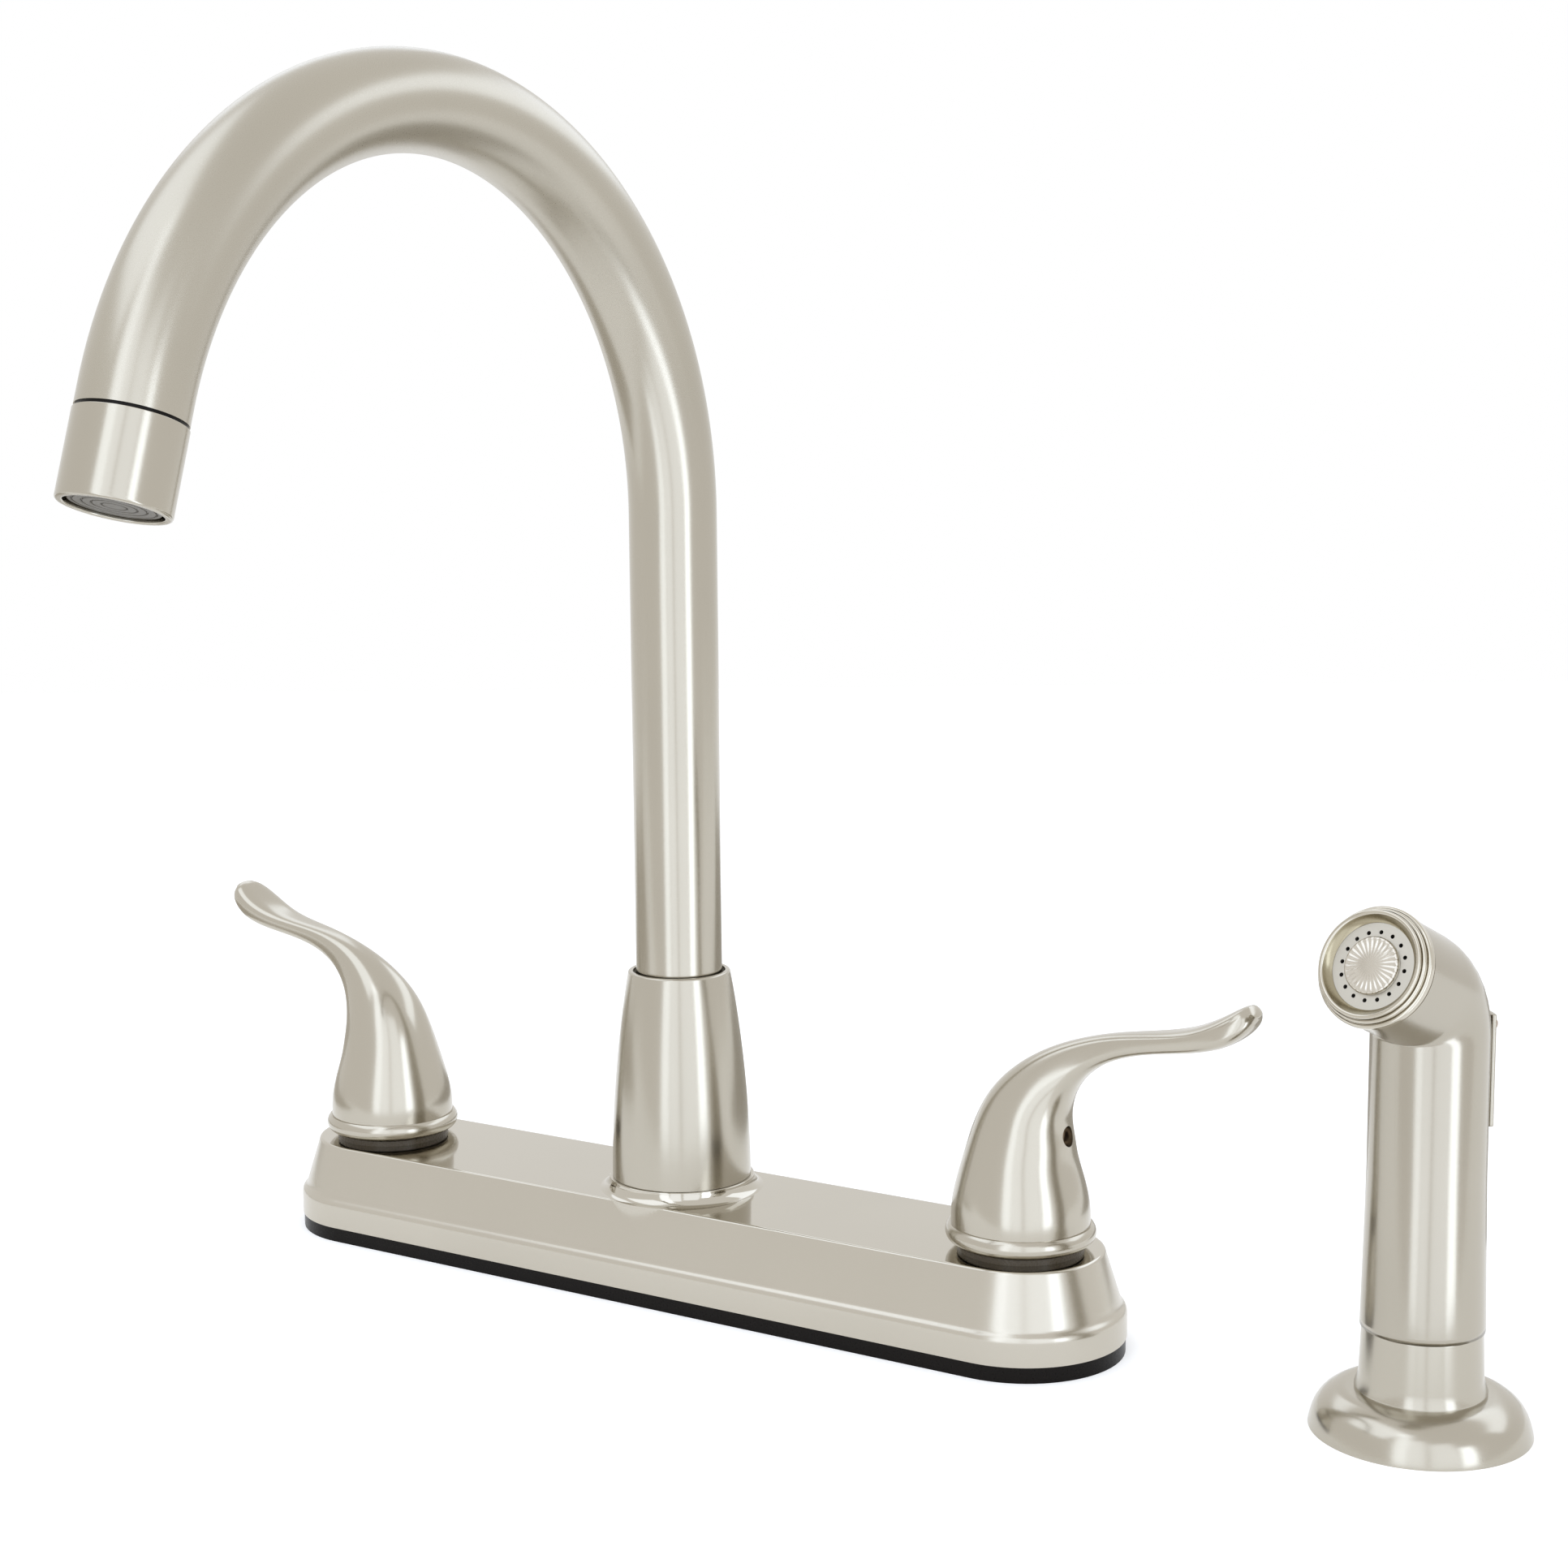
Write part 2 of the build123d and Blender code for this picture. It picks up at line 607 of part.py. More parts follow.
# ---------------------------------------------------------------- diverter
# Floating piston: its disc closes the floor, its stem is guided in the spray outlet.
with BuildPart() as diverter:
    disc_bottom = centre_floor + running_clearance
    disc_top = disc_bottom + diverter_disc_thickness
    head_top = disc_top + diverter_head_height
    stem_bottom = disc_bottom - diverter_stem_length
    guide_radius = outlet_bore_radius - running_clearance
    spin([(0, stem_bottom), (guide_radius, stem_bottom), (guide_radius, disc_bottom),
          (diverter_disc_radius, disc_bottom), (diverter_disc_radius, disc_top),
          (diverter_head_radius, disc_top), (diverter_head_radius, head_top), (0, head_top)], middle)
diverter.part.label = "diverter"
export_step(diverter.part, "parts/diverter.step")

# ---------------------------------------------------------------- spout collar, seal and guide
with BuildPart() as collar_seal:
    washer(collar_foot_radius - part_gap, centre_neck_radius + part_gap, boss_top,
           collar_seal_thickness, 0)
collar_seal.part.label = "collar_seal"
export_step(collar_seal.part, "parts/collar_seal.step")

# Turned taper with a swelling side: screws down on the centre body's neck and traps the
# spout's flange.
with BuildPart() as spout_collar:
    neck_bore = centre_neck_radius + seat_clearance
    with BuildSketch(middle) as collar_section:
        with BuildLine():
            Polyline((collar_top_radius, collar_top), (collar_lip_radius, collar_top),
                     (collar_lip_radius, guide_bottom), (collar_bore_radius, guide_bottom),
                     (collar_bore_radius, collar_shoulder), (neck_bore, collar_shoulder),
                     (neck_bore, collar_bottom), (collar_foot_radius, collar_bottom))
            ThreePointArc((collar_foot_radius, collar_bottom),
                          ((collar_foot_radius + collar_top_radius) / 2 + collar_swell,
                           (collar_bottom + collar_top) / 2),
                          (collar_top_radius, collar_top))
        make_face()
    revolve(collar_section.sketch, axis=Axis.Z)
    fillet(spout_collar.edges().group_by(Axis.Z)[-1], collar_edge_radius)
spout_collar.part.label = "spout_collar"
export_step(spout_collar.part, "parts/spout_collar.step")

# Plastic guide ring pressed in the collar's mouth, round the turning tube.
with BuildPart() as spout_guide:
    washer(collar_lip_radius - seat_clearance, tube_radius + running_clearance, guide_bottom,
           guide_length, 0)
spout_guide.part.label = "spout_guide"
export_step(spout_guide.part, "parts/spout_guide.step")

# ---------------------------------------------------------------- spout
# Brass base: O-ring barrel in the centre body, flange under the collar, spigot in the tube.
with BuildPart() as spout_base:
    spin([(spout_base_bore_radius, spout_base_bottom), (spout_base_radius, spout_base_bottom),
          (spout_base_radius, flange_bottom), (spout_flange_radius, flange_bottom),
          (spout_flange_radius, flange_top), (tube_bore_radius - seat_clearance, flange_top),
          (tube_bore_radius - seat_clearance, spigot_top), (spout_base_bore_radius, spigot_top)],
         middle)
    groove_radius = spout_base_radius - ring_groove_depth
    for height in ring_heights:
        spin([(groove_radius, height), (centre_bore_radius, height),
              (centre_bore_radius, height + ring_section), (groove_radius, height + ring_section)],
             middle, Mode.SUBTRACT)
spout_base.part.label = "spout_base"
export_step(spout_base.part, "parts/spout_base.step")

# Two rubber rings that seal the turning base, one in each groove.
with BuildPart() as spout_rings:
    for height in ring_heights:
        washer(centre_bore_radius - seat_clearance, groove_radius + seat_clearance, height,
               ring_section, 0)
spout_rings.part.label = "spout_rings"
export_step(spout_rings.part, "parts/spout_rings.step")

# Bent tube: upright riser, one round arch over the sink, and a short straight tail.
with BuildPart() as spout_tube:
    with BuildLine(Plane.YZ) as route:
        Line((0, flange_top), (0, riser_top))
        CenterArc((-arch_radius, riser_top), arch_radius, 0, arch_angle)
        tail_end = arch_end_point + outlet_direction * tube_tail
        Line((arch_end_point.Y, arch_end_point.Z), (tail_end.Y, tail_end.Z))
    with BuildSketch(Plane.XY.offset(flange_top)) as ring:
        Circle(tube_radius)
        Circle(tube_bore_radius, mode=Mode.SUBTRACT)
    sweep(ring.sketch, path=route.wires()[0])
spout_tube.part.label = "spout_tube"
export_step(spout_tube.part, "parts/spout_tube.step")

# ---------------------------------------------------------------- aerator
# The outlet's own plane: x to the faucet's right, y along the outlet, origin at the arch's end.
outlet = Plane(origin=arch_end_point, x_dir=(1, 0, 0), z_dir=Vector(1, 0, 0).cross(outlet_direction))
aerator_bore_radius = aerator_radius - aerator_wall

with BuildPart() as aerator_seal:
    spin([(tube_bore_radius, tube_tail), (tube_radius - aerator_seal_inset, tube_tail),
          (tube_radius - aerator_seal_inset, seam), (tube_bore_radius, seam)], outlet)
aerator_seal.part.label = "aerator_seal"
export_step(aerator_seal.part, "parts/aerator_seal.step")

# Housing: a sleeve the tube's size, with a threaded spigot inside the tube.
screen_start = seam + 3.0
with BuildPart() as aerator_housing:
    spigot_start = part_gap  # it ends in the tube's straight tail
    spigot_radius_outer = tube_bore_radius - seat_clearance
    spin([(aerator_bore_radius - 1, spigot_start), (spigot_radius_outer, spigot_start),
          (spigot_radius_outer, seam), (aerator_radius, seam), (aerator_radius, aerator_tip),
          (aerator_bore_radius, aerator_tip), (aerator_bore_radius, screen_start),
          (aerator_bore_radius - 1, screen_start)], outlet)
    tip_edges = aerator_housing.edges().filter_by(GeomType.CIRCLE)
    fillet(tip_edges.sort_by(Axis(outlet.origin, outlet.y_dir))[-2:], aerator_edge_radius)
aerator_housing.part.label = "aerator_housing"
export_step(aerator_housing.part, "parts/aerator_housing.step")

# Perforated screen that the insert presses on the housing's inner step.
screen_end = screen_start + screen_thickness
insert_radius = aerator_bore_radius - aerator_insert_gap
with BuildPart() as aerator_screen:
    screen_plane = Plane(origin=outlet.from_local_coords((0, screen_start, 0)),
                         x_dir=outlet.x_dir, z_dir=outlet.y_dir)
    with BuildSketch(screen_plane) as mesh:
        Circle(aerator_bore_radius - seat_clearance)
        for ring_radius, hole_count in ((0.01, 1), (2.6, 6), (5.2, 12)):
            with PolarLocations(ring_radius, hole_count):
                Circle(0.7, mode=Mode.SUBTRACT)
    extrude(mesh.sketch, amount=screen_thickness)
aerator_screen.part.label = "aerator_screen"
export_step(aerator_screen.part, "parts/aerator_screen.step")

# Insert: grey plastic plug with raised rings on its face and a ring of water slots.
insert_end = aerator_tip - aerator_insert_recess
insert_collar = 2.0
with BuildPart() as aerator_insert:
    spin([(0, screen_end), (aerator_bore_radius - seat_clearance, screen_end),
          (aerator_bore_radius - seat_clearance, screen_end + insert_collar),
          (insert_radius, screen_end + insert_collar), (insert_radius, insert_end), (0, insert_end)],
         outlet)
    for ring_index in range(insert_ring_count):
        ring_radius = insert_radius - insert_ring_margin - ring_index * insert_ring_pitch
        inner = ring_radius - insert_ring_height
        spin([(inner, insert_end), (ring_radius, insert_end),
              (ring_radius, insert_end + insert_ring_height), (inner, insert_end + insert_ring_height)],
             outlet)
    with BuildSketch(Plane(origin=outlet.from_local_coords((0, screen_end, 0)),
                           x_dir=outlet.x_dir, z_dir=outlet.y_dir)) as slots:
        slot_circle = insert_radius - insert_ring_margin - 1.5 * insert_ring_pitch
        with PolarLocations(slot_circle, 10):
            Circle(0.5)
    extrude(slots.sketch, amount=aerator_length, mode=Mode.SUBTRACT)
aerator_insert.part.label = "aerator_insert"
export_step(aerator_insert.part, "parts/aerator_insert.step")

# ---------------------------------------------------------------- spray holder on the deck
stand = upright(spray_offset)

# Domed flange, hollow underneath.
with BuildPart() as spray_flange:
    dome_middle = (spray_flange_radius - 2.4, spray_flange_height - 2.6)
    for inset, mode in ((0, Mode.ADD), (spray_flange_wall, Mode.SUBTRACT)):
        with BuildSketch(stand) as dome:
            with BuildLine():
                Polyline((spray_flange_flat_radius, spray_flange_height - inset),
                         (0, spray_flange_height - inset), (0, 0), (spray_flange_radius - inset, 0),
                         (spray_flange_radius - inset, 1.5))
                ThreePointArc((spray_flange_radius - inset, 1.5),
                              (dome_middle[0] - inset * sqrt(0.5), dome_middle[1] - inset * sqrt(0.5)),
                              (spray_flange_flat_radius, spray_flange_height - inset))
            make_face()
        revolve(dome.sketch, axis=Axis(stand.origin, stand.y_dir), mode=mode)
    bore(flange_hole_radius, -1, spray_flange_height + 1, stand)
spray_flange.part.label = "spray_flange"
export_step(spray_flange.part, "parts/spray_flange.step")

# Holder: a cup that stands on the flange, and a threaded shank through both.
with BuildPart() as spray_holder:
    spin([(holder_socket_radius, holder_rim), (holder_rim_radius, holder_rim),
          (holder_waist_radius, holder_foot + holder_waist_height),
          (holder_foot_radius, holder_foot + holder_foot_height), (holder_foot_radius, holder_foot),
          (holder_shank_radius, holder_foot), (holder_shank_radius, -holder_shank_length),
          (holder_bore_radius, -holder_shank_length), (holder_bore_radius, holder_wall_step),
          (holder_socket_radius, holder_wall_step)], stand)
spray_holder.part.label = "spray_holder"
export_step(spray_holder.part, "parts/spray_holder.step")

with BuildPart() as holder_washer:
    washer(holder_washer_radius, holder_shank_radius + seat_clearance, washer_bottom,
           mount_washer_thickness, spray_offset)
holder_washer.part.label = "holder_washer"
export_step(holder_washer.part, "parts/holder_washer.step")

with BuildPart() as holder_nut:
    nut(holder_nut_flats, holder_shank_radius + seat_clearance, washer_bottom - holder_nut_height,
        holder_nut_height, spray_offset)
holder_nut.part.label = "holder_nut"
export_step(holder_nut.part, "parts/holder_nut.step")

# ---------------------------------------------------------------- sprayer
# Side view plane: x towards the nozzle, y up. Nozzle plane: y along the nozzle from the elbow.
grip = upright(spray_offset, spray_facing)
nozzle_direction = grip.x_dir * cos(nozzle_angle) + grip.y_dir * sin(nozzle_angle)
nozzle_up = grip.y_dir * cos(nozzle_angle) - grip.x_dir * sin(nozzle_angle)
nozzle = Plane(origin=grip.from_local_coords((0, elbow_height, 0)),
               x_dir=nozzle_up, z_dir=nozzle_up.cross(nozzle_direction))


def level(height):
    """Level plane across the sprayer: x towards the nozzle, y to the sprayer's own left."""
    return Plane(origin=grip.from_local_coords((0, height, 0)), x_dir=grip.x_dir, z_dir=grip.y_dir)


def trigger_section(outer, inner, centre, edge):
    """Ring sector round the sprayer's back, on the active sketch."""
    with Locations((-centre, 0)):
        Circle(outer)
        Circle(inner, mode=Mode.SUBTRACT)
    with Locations((2 * outer - edge, 0)):
        Rectangle(4 * outer, 4 * outer, mode=Mode.SUBTRACT)


# Body: tapered grip, bent neck and nozzle barrel in one shell, with a spigot for the holder.
with BuildPart() as sprayer_body:
    grip_top = elbow_start
    lip_top = grip_foot + grip_foot_lip
    spin([(0, spigot_bottom), (spigot_radius, spigot_bottom), (spigot_radius, grip_foot),
          (grip_foot_radius, grip_foot), (grip_foot_radius, lip_top),
          (grip_waist_radius, grip_waist_height), (grip_waist_radius, grip_top), (0, grip_top)], grip)
    with BuildSketch(level(grip_top)) as neck:
        Circle(grip_waist_radius)
    bend_axis = Axis(grip.from_local_coords((elbow_radius, grip_top, 0)), -grip.z_dir)
    revolve(neck.sketch, axis=bend_axis, revolution_arc=elbow_turn)
    spin([(0, elbow_tangent), (grip_waist_radius, elbow_tangent), (grip_waist_radius, head_length),
          (0, head_length)], nozzle)
    bore(grip_bore_radius, spigot_bottom - 1, grip_bore_top, grip)
    bore(passage_radius, grip_bore_top - 1, elbow_height, grip)
    bore(passage_radius, 0, chamber_depth + 1, nozzle)
    bore(chamber_radius, chamber_depth, head_length + 1, nozzle)
    recess_shift = trigger_pull - trigger_offset
    with BuildSketch(level(trigger_bottom - recess_end_gap)) as recess:
        trigger_section(2 * grip_waist_radius, trigger_radius - trigger_thickness - part_gap,
                        -recess_shift, trigger_edge - recess_overtravel)
    extrude(recess.sketch, amount=trigger_length + 2 * recess_end_gap, mode=Mode.SUBTRACT)
    with BuildSketch(Plane(origin=grip.from_local_coords((0, plunger_height, 0)),
                           x_dir=grip.y_dir, z_dir=-grip.x_dir)) as valve_bore:
        Circle(plunger_radius + running_clearance)
    extrude(valve_bore.sketch, amount=grip_foot_radius, mode=Mode.SUBTRACT)
    with BuildSketch(Plane(origin=grip.from_local_coords((0, plunger_height, 0)),
                           x_dir=grip.y_dir, z_dir=-grip.x_dir)) as gland_bore:
        Circle(gland_radius)
    extrude(gland_bore.sketch, amount=gland_setback + gland_length, mode=Mode.SUBTRACT)
    with BuildSketch(Plane(origin=grip.from_local_coords((-pivot_setback, pivot_height, 0)),
                           x_dir=grip.x_dir, z_dir=grip.z_dir)) as pin_bore:
        Circle(pin_radius + seat_clearance)
    extrude(pin_bore.sketch, amount=grip_foot_radius, both=True, mode=Mode.SUBTRACT)
sprayer_body.part.label = "sprayer_body"
export_step(sprayer_body.part, "parts/sprayer_body.step")

# Bezel: stepped ring on the barrel's end, with a spigot inside it and a flared mouth.
with BuildPart() as sprayer_bezel:
    band_start = head_length + 0.6
    band_end = band_start + bezel_band
    first_step = band_end + bezel_step
    spigot_start = head_length - bezel_spigot_length
    spigot_outer = chamber_radius - seat_clearance
    spin([(bezel_seat_radius - 1, spigot_start), (spigot_outer, spigot_start),
          (spigot_outer, head_length), (bezel_neck_radius, head_length),
          (bezel_neck_radius, band_start), (bezel_radius, band_start + 0.4),
          (bezel_radius, band_end - 0.4), (bezel_neck_radius, band_end),
          (bezel_neck_radius, first_step), (bezel_rim_radius, first_step),
          (bezel_rim_radius, bezel_front - 0.3), (bezel_rim_radius - 0.3, bezel_front),
          (bezel_mouth_radius + 0.2, bezel_front), (bezel_mouth_radius, bezel_front - 0.3),
          (bezel_seat_radius + 0.6, face_front + 0.6), (bezel_seat_radius, face_front),
          (bezel_seat_radius, face_back), (bezel_seat_radius - 1, face_back)], nozzle)
sprayer_bezel.part.label = "sprayer_bezel"
export_step(sprayer_bezel.part, "parts/sprayer_bezel.step")

# Spray face: thin plate with a ring of spray holes round the cap.
face_plane = Plane(origin=nozzle.from_local_coords((0, face_back, 0)),
                   x_dir=nozzle.x_dir, z_dir=nozzle.y_dir)
with BuildPart() as spray_face:
    with BuildSketch(face_plane) as plate:
        Circle(bezel_seat_radius - seat_clearance)
        Circle(cap_radius, mode=Mode.SUBTRACT)
        with PolarLocations(spray_hole_circle, spray_hole_count):
            Circle(spray_hole_radius, mode=Mode.SUBTRACT)
    extrude(plate.sketch, amount=face_thickness)
spray_face.part.label = "spray_face"
export_step(spray_face.part, "parts/spray_face.step")

# Cap in the middle of the face, with a flange behind the plate that holds it in.
with BuildPart() as spray_cap:
    edge = cap_radius - seat_clearance
    cap_front = face_front + cap_proud
    spin([(0, face_back - cap_depth), (edge, face_back - cap_depth), (edge, cap_front - 0.4),
          (edge - 0.5, cap_front), (0, cap_front + 0.3)], nozzle)
    spin([(0, face_back - 1), (edge + cap_flange, face_back - 1), (edge + cap_flange, face_back),
          (0, face_back)], nozzle)
spray_cap.part.label = "spray_cap"
export_step(spray_cap.part, "parts/spray_cap.step")

# Trigger: thin curved lever let into the grip's back, hung on a cross pin near its top.
with BuildPart() as trigger:
    with BuildSketch(level(trigger_bottom)) as sector:
        trigger_section(trigger_radius, trigger_radius - trigger_thickness, trigger_offset,
                        trigger_edge)
    extrude(sector.sketch, amount=trigger_top - trigger_bottom)
    with BuildSketch(Plane(origin=grip.from_local_coords((-pivot_setback, pivot_height, 0)),
                           x_dir=grip.x_dir, z_dir=grip.z_dir)) as pin_hole:
        Circle(pin_radius + running_clearance)
    extrude(pin_hole.sketch, amount=trigger_radius + 1, both=True, mode=Mode.SUBTRACT)
trigger.part.label = "trigger"
export_step(trigger.part, "parts/trigger.step")

pin_half_length = sqrt(trigger_radius ** 2 - (pivot_setback - trigger_offset) ** 2) - 0.1
with BuildPart() as trigger_pin:
    with BuildSketch(Plane(origin=grip.from_local_coords((-pivot_setback, pivot_height, 0)),
                           x_dir=grip.x_dir, z_dir=grip.z_dir)) as pin:
        Circle(pin_radius)
    extrude(pin.sketch, amount=pin_half_length, both=True)
trigger_pin.part.label = "trigger_pin"
export_step(trigger_pin.part, "parts/trigger_pin.step")

# Valve plunger, lying level from the trigger to the grip's bore; y of this plane is forward.
valve_line = Plane(origin=grip.from_local_coords((0, plunger_height, 0)),
                   x_dir=grip.y_dir, z_dir=grip.y_dir.cross(grip.x_dir))
plunger_back = -(trigger_radius + trigger_offset - trigger_thickness - part_gap)
half_disc = plunger_disc_thickness / 2
with BuildPart() as valve_plunger:
    spin([(0, plunger_back), (plunger_radius, plunger_back), (plunger_radius, -half_disc),
          (plunger_disc_radius, -half_disc), (plunger_disc_radius, half_disc),
          (plunger_radius - 0.2, half_disc), (plunger_radius - 0.2, half_disc + plunger_nose),
          (0, half_disc + plunger_nose)], valve_line)
valve_plunger.part.label = "valve_plunger"
export_step(valve_plunger.part, "parts/valve_plunger.step")

# Rubber gland ring round the plunger.
with BuildPart() as plunger_gland:
    spin([(plunger_radius + running_clearance, -gland_setback - gland_length),
          (gland_radius - seat_clearance, -gland_setback - gland_length),
          (gland_radius - seat_clearance, -gland_setback),
          (plunger_radius + running_clearance, -gland_setback)], valve_line)
plunger_gland.part.label = "plunger_gland"
export_step(plunger_gland.part, "parts/plunger_gland.step")

# Return spring round the plunger's nose, its first coil against the disc.
spring_start = half_disc + spring_wire_radius
spring_plane = Plane(origin=valve_line.from_local_coords((0, spring_start, 0)),
                     x_dir=valve_line.x_dir, z_dir=valve_line.y_dir)
with BuildPart() as valve_spring:
    with BuildLine() as coil:
        Helix(spring_pitch, spring_pitch * spring_turns, spring_radius,
              center=spring_plane.origin, direction=spring_plane.z_dir)
    with BuildSketch(Plane(origin=coil.line @ 0, z_dir=coil.line % 0)) as wire:
        Circle(spring_wire_radius)
    sweep(wire.sketch, path=coil.line, is_frenet=True)
valve_spring.part.label = "valve_spring"
export_step(valve_spring.part, "parts/valve_spring.step")

# Hose coupling: threaded into the grip's bore, a collar, and the barb that the hose takes.
with BuildPart() as hose_coupling:
    collar_top_height = spigot_bottom
    collar_low = collar_top_height - coupling_collar_height
    thread = grip_bore_radius - seat_clearance
    spin([(coupling_bore_radius, collar_low - coupling_length),
          (coupling_barb_radius, collar_low - coupling_length), (coupling_barb_radius, collar_low),
          (coupling_collar_radius, collar_low), (coupling_collar_radius, collar_top_height),
          (thread, collar_top_height), (thread, collar_top_height + coupling_thread_length),
          (coupling_bore_radius, collar_top_height + coupling_thread_length)], grip)
hose_coupling.part.label = "hose_coupling"
export_step(hose_coupling.part, "parts/hose_coupling.step")

print("trigger travel in degrees:", round(pull_angle, 2))
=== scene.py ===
from math import atan2, cos, degrees, pi, radians, sin, sqrt

import bmesh
import bpy
from mathutils import Matrix, Vector


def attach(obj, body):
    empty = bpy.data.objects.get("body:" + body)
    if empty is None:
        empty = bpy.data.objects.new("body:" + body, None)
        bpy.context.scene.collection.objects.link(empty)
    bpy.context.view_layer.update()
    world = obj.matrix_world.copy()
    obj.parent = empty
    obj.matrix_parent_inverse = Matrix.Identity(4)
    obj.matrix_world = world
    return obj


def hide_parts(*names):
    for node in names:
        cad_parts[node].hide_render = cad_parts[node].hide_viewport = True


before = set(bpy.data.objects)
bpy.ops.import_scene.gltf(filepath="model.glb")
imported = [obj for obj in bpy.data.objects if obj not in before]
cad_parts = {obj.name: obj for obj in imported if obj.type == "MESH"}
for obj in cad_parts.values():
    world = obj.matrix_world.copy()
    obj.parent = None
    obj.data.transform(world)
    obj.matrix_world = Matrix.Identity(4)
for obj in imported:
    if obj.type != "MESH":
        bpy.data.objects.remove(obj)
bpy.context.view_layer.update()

# ---------------------------------------------------------------- camera
# Stands in front of the faucet and to its right, a little above the middle of the spout, where
# the photograph was taken. The view is square, and the lens is set for it.
camera_place = Vector((0.3797, -0.54395, 0.2249))
camera_yaw = radians(32.48)
camera_pitch = radians(7.83)
camera_roll = radians(-0.47)
back = Vector((sin(camera_yaw) * cos(camera_pitch), -cos(camera_yaw) * cos(camera_pitch),
               sin(camera_pitch)))
level_right = Vector((0, 0, 1)).cross(back).normalized()
level_up = back.cross(level_right)
view_right = level_right * cos(camera_roll) + level_up * sin(camera_roll)
view_up = level_up * cos(camera_roll) - level_right * sin(camera_roll)
camera_data = bpy.data.cameras.new("camera")
camera_data.lens = 58.513
camera_data.sensor_width = 36.0
camera_data.clip_start = 0.01
camera = bpy.data.objects.new("camera", camera_data)
camera.matrix_world = Matrix.Translation(camera_place) @ Matrix(
    (view_right, view_up, back)).transposed().to_4x4()
bpy.context.scene.collection.objects.link(camera)
bpy.context.scene.camera = camera

# ---------------------------------------------------------------- studio
# A white table and white surroundings, with tall soft lamps to both sides of the camera, two
# wide ones behind and one overhead. Two grey sheets that only reflections show lie on the table
# and darken the metal's edges. An apron at its front hides what hangs under it from a low camera.
scene = bpy.context.scene
scene.view_settings.view_transform = "Standard"
towards_camera = Vector((sin(camera_yaw), -cos(camera_yaw), 0))
camera_side = Vector((cos(camera_yaw), sin(camera_yaw), 0))
white = (1.0, 1.0, 1.0)
surroundings_shown, surroundings_light = 1.0, 0.72
table_tone, table_lift = 0.85, 0.42
table_front, table_back, table_side, apron_depth = 0.2, 1.6, 1.2, 0.06
lamp_colour, lamp_aim = (0.87, 1.0, 1.22), Vector((0, 0, 0.12))
sheet_colour, sheet_height = (1.0, 0.96, 0.88), 0.001


def shown_strength(nodes, links, shown, otherwise):
    """One strength for what the camera, reflections and glass show, and one for other light."""
    path = nodes.new("ShaderNodeLightPath")
    shows = path.outputs["Is Camera Ray"]
    for ray in ("Is Glossy Ray", "Is Transmission Ray"):
        either = nodes.new("ShaderNodeMath")
        either.operation = "MAXIMUM"
        links.new(shows, either.inputs[0])
        links.new(path.outputs[ray], either.inputs[1])
        shows = either.outputs[0]
    level = nodes.new("ShaderNodeMapRange")
    level.inputs["To Min"].default_value = otherwise
    level.inputs["To Max"].default_value = shown
    links.new(shows, level.inputs["Value"])
    return level.outputs["Result"]


def glowing(name, colour, brightness):
    """Material that gives off an even light."""
    material = bpy.data.materials.new(name)
    material.use_nodes = True
    nodes, links = material.node_tree.nodes, material.node_tree.links
    nodes.remove(nodes["Principled BSDF"])
    glow = nodes.new("ShaderNodeEmission")
    glow.inputs["Color"].default_value = (*colour, 1.0)
    glow.inputs["Strength"].default_value = brightness
    links.new(glow.outputs[0], nodes["Material Output"].inputs["Surface"])
    return material


def studio_sheet(name, material, corner_place, hidden_from=()):
    """Flat sheet of the studio, each corner where corner_place puts its x and y of 1 or -1."""
    build = bmesh.new()
    bmesh.ops.create_grid(build, x_segments=1, y_segments=1, size=1.0)
    for corner in build.verts:
        corner.co = corner_place(corner.co.x, corner.co.y)
    mesh = bpy.data.meshes.new(name)
    build.to_mesh(mesh)
    build.free()
    mesh.materials.append(material)
    sheet = bpy.data.objects.new(name, mesh)
    for ray in hidden_from:
        setattr(sheet, f"visible_{ray}", False)
    scene.collection.objects.link(sheet)
    return sheet


world = bpy.data.worlds.new("studio")
scene.world = world
world.use_nodes = True
world_nodes, world_links = world.node_tree.nodes, world.node_tree.links
surroundings = world_nodes["Background"]
surroundings.inputs["Color"].default_value = (*white, 1.0)
world_links.new(shown_strength(world_nodes, world_links, surroundings_shown, surroundings_light),
                surroundings.inputs["Strength"])

table_material = glowing("white_table", white, table_lift)
table_nodes, table_links = table_material.node_tree.nodes, table_material.node_tree.links
table_glow = table_nodes["Emission"]
table_links.new(shown_strength(table_nodes, table_links, table_lift, 0.0),
                table_glow.inputs["Strength"])
table_paint = table_nodes.new("ShaderNodeBsdfDiffuse")
table_paint.inputs["Color"].default_value = (table_tone, table_tone, table_tone, 1.0)
table_sum = table_nodes.new("ShaderNodeAddShader")
table_links.new(table_paint.outputs[0], table_sum.inputs[0])
table_links.new(table_glow.outputs[0], table_sum.inputs[1])
table_links.new(table_sum.outputs[0], table_nodes["Material Output"].inputs["Surface"])
table = studio_sheet("table", table_material, lambda x, y: (
    towards_camera * (table_front if y < 0 else -table_back) + camera_side * x * table_side))
apron = studio_sheet("table_apron", glowing("white_apron", white, 1.0), lambda x, y: (
    towards_camera * table_front + camera_side * x * table_side
    - Vector((0, 0, apron_depth * (y < 0)))), ("glossy", "diffuse", "transmission", "shadow"))


def around(turn, distance, height):
    """Place at an angle round the object from the camera's side, positive to the right."""
    return (towards_camera * cos(radians(turn)) + camera_side * sin(radians(turn))) * distance \
        + Vector((0, 0, height))


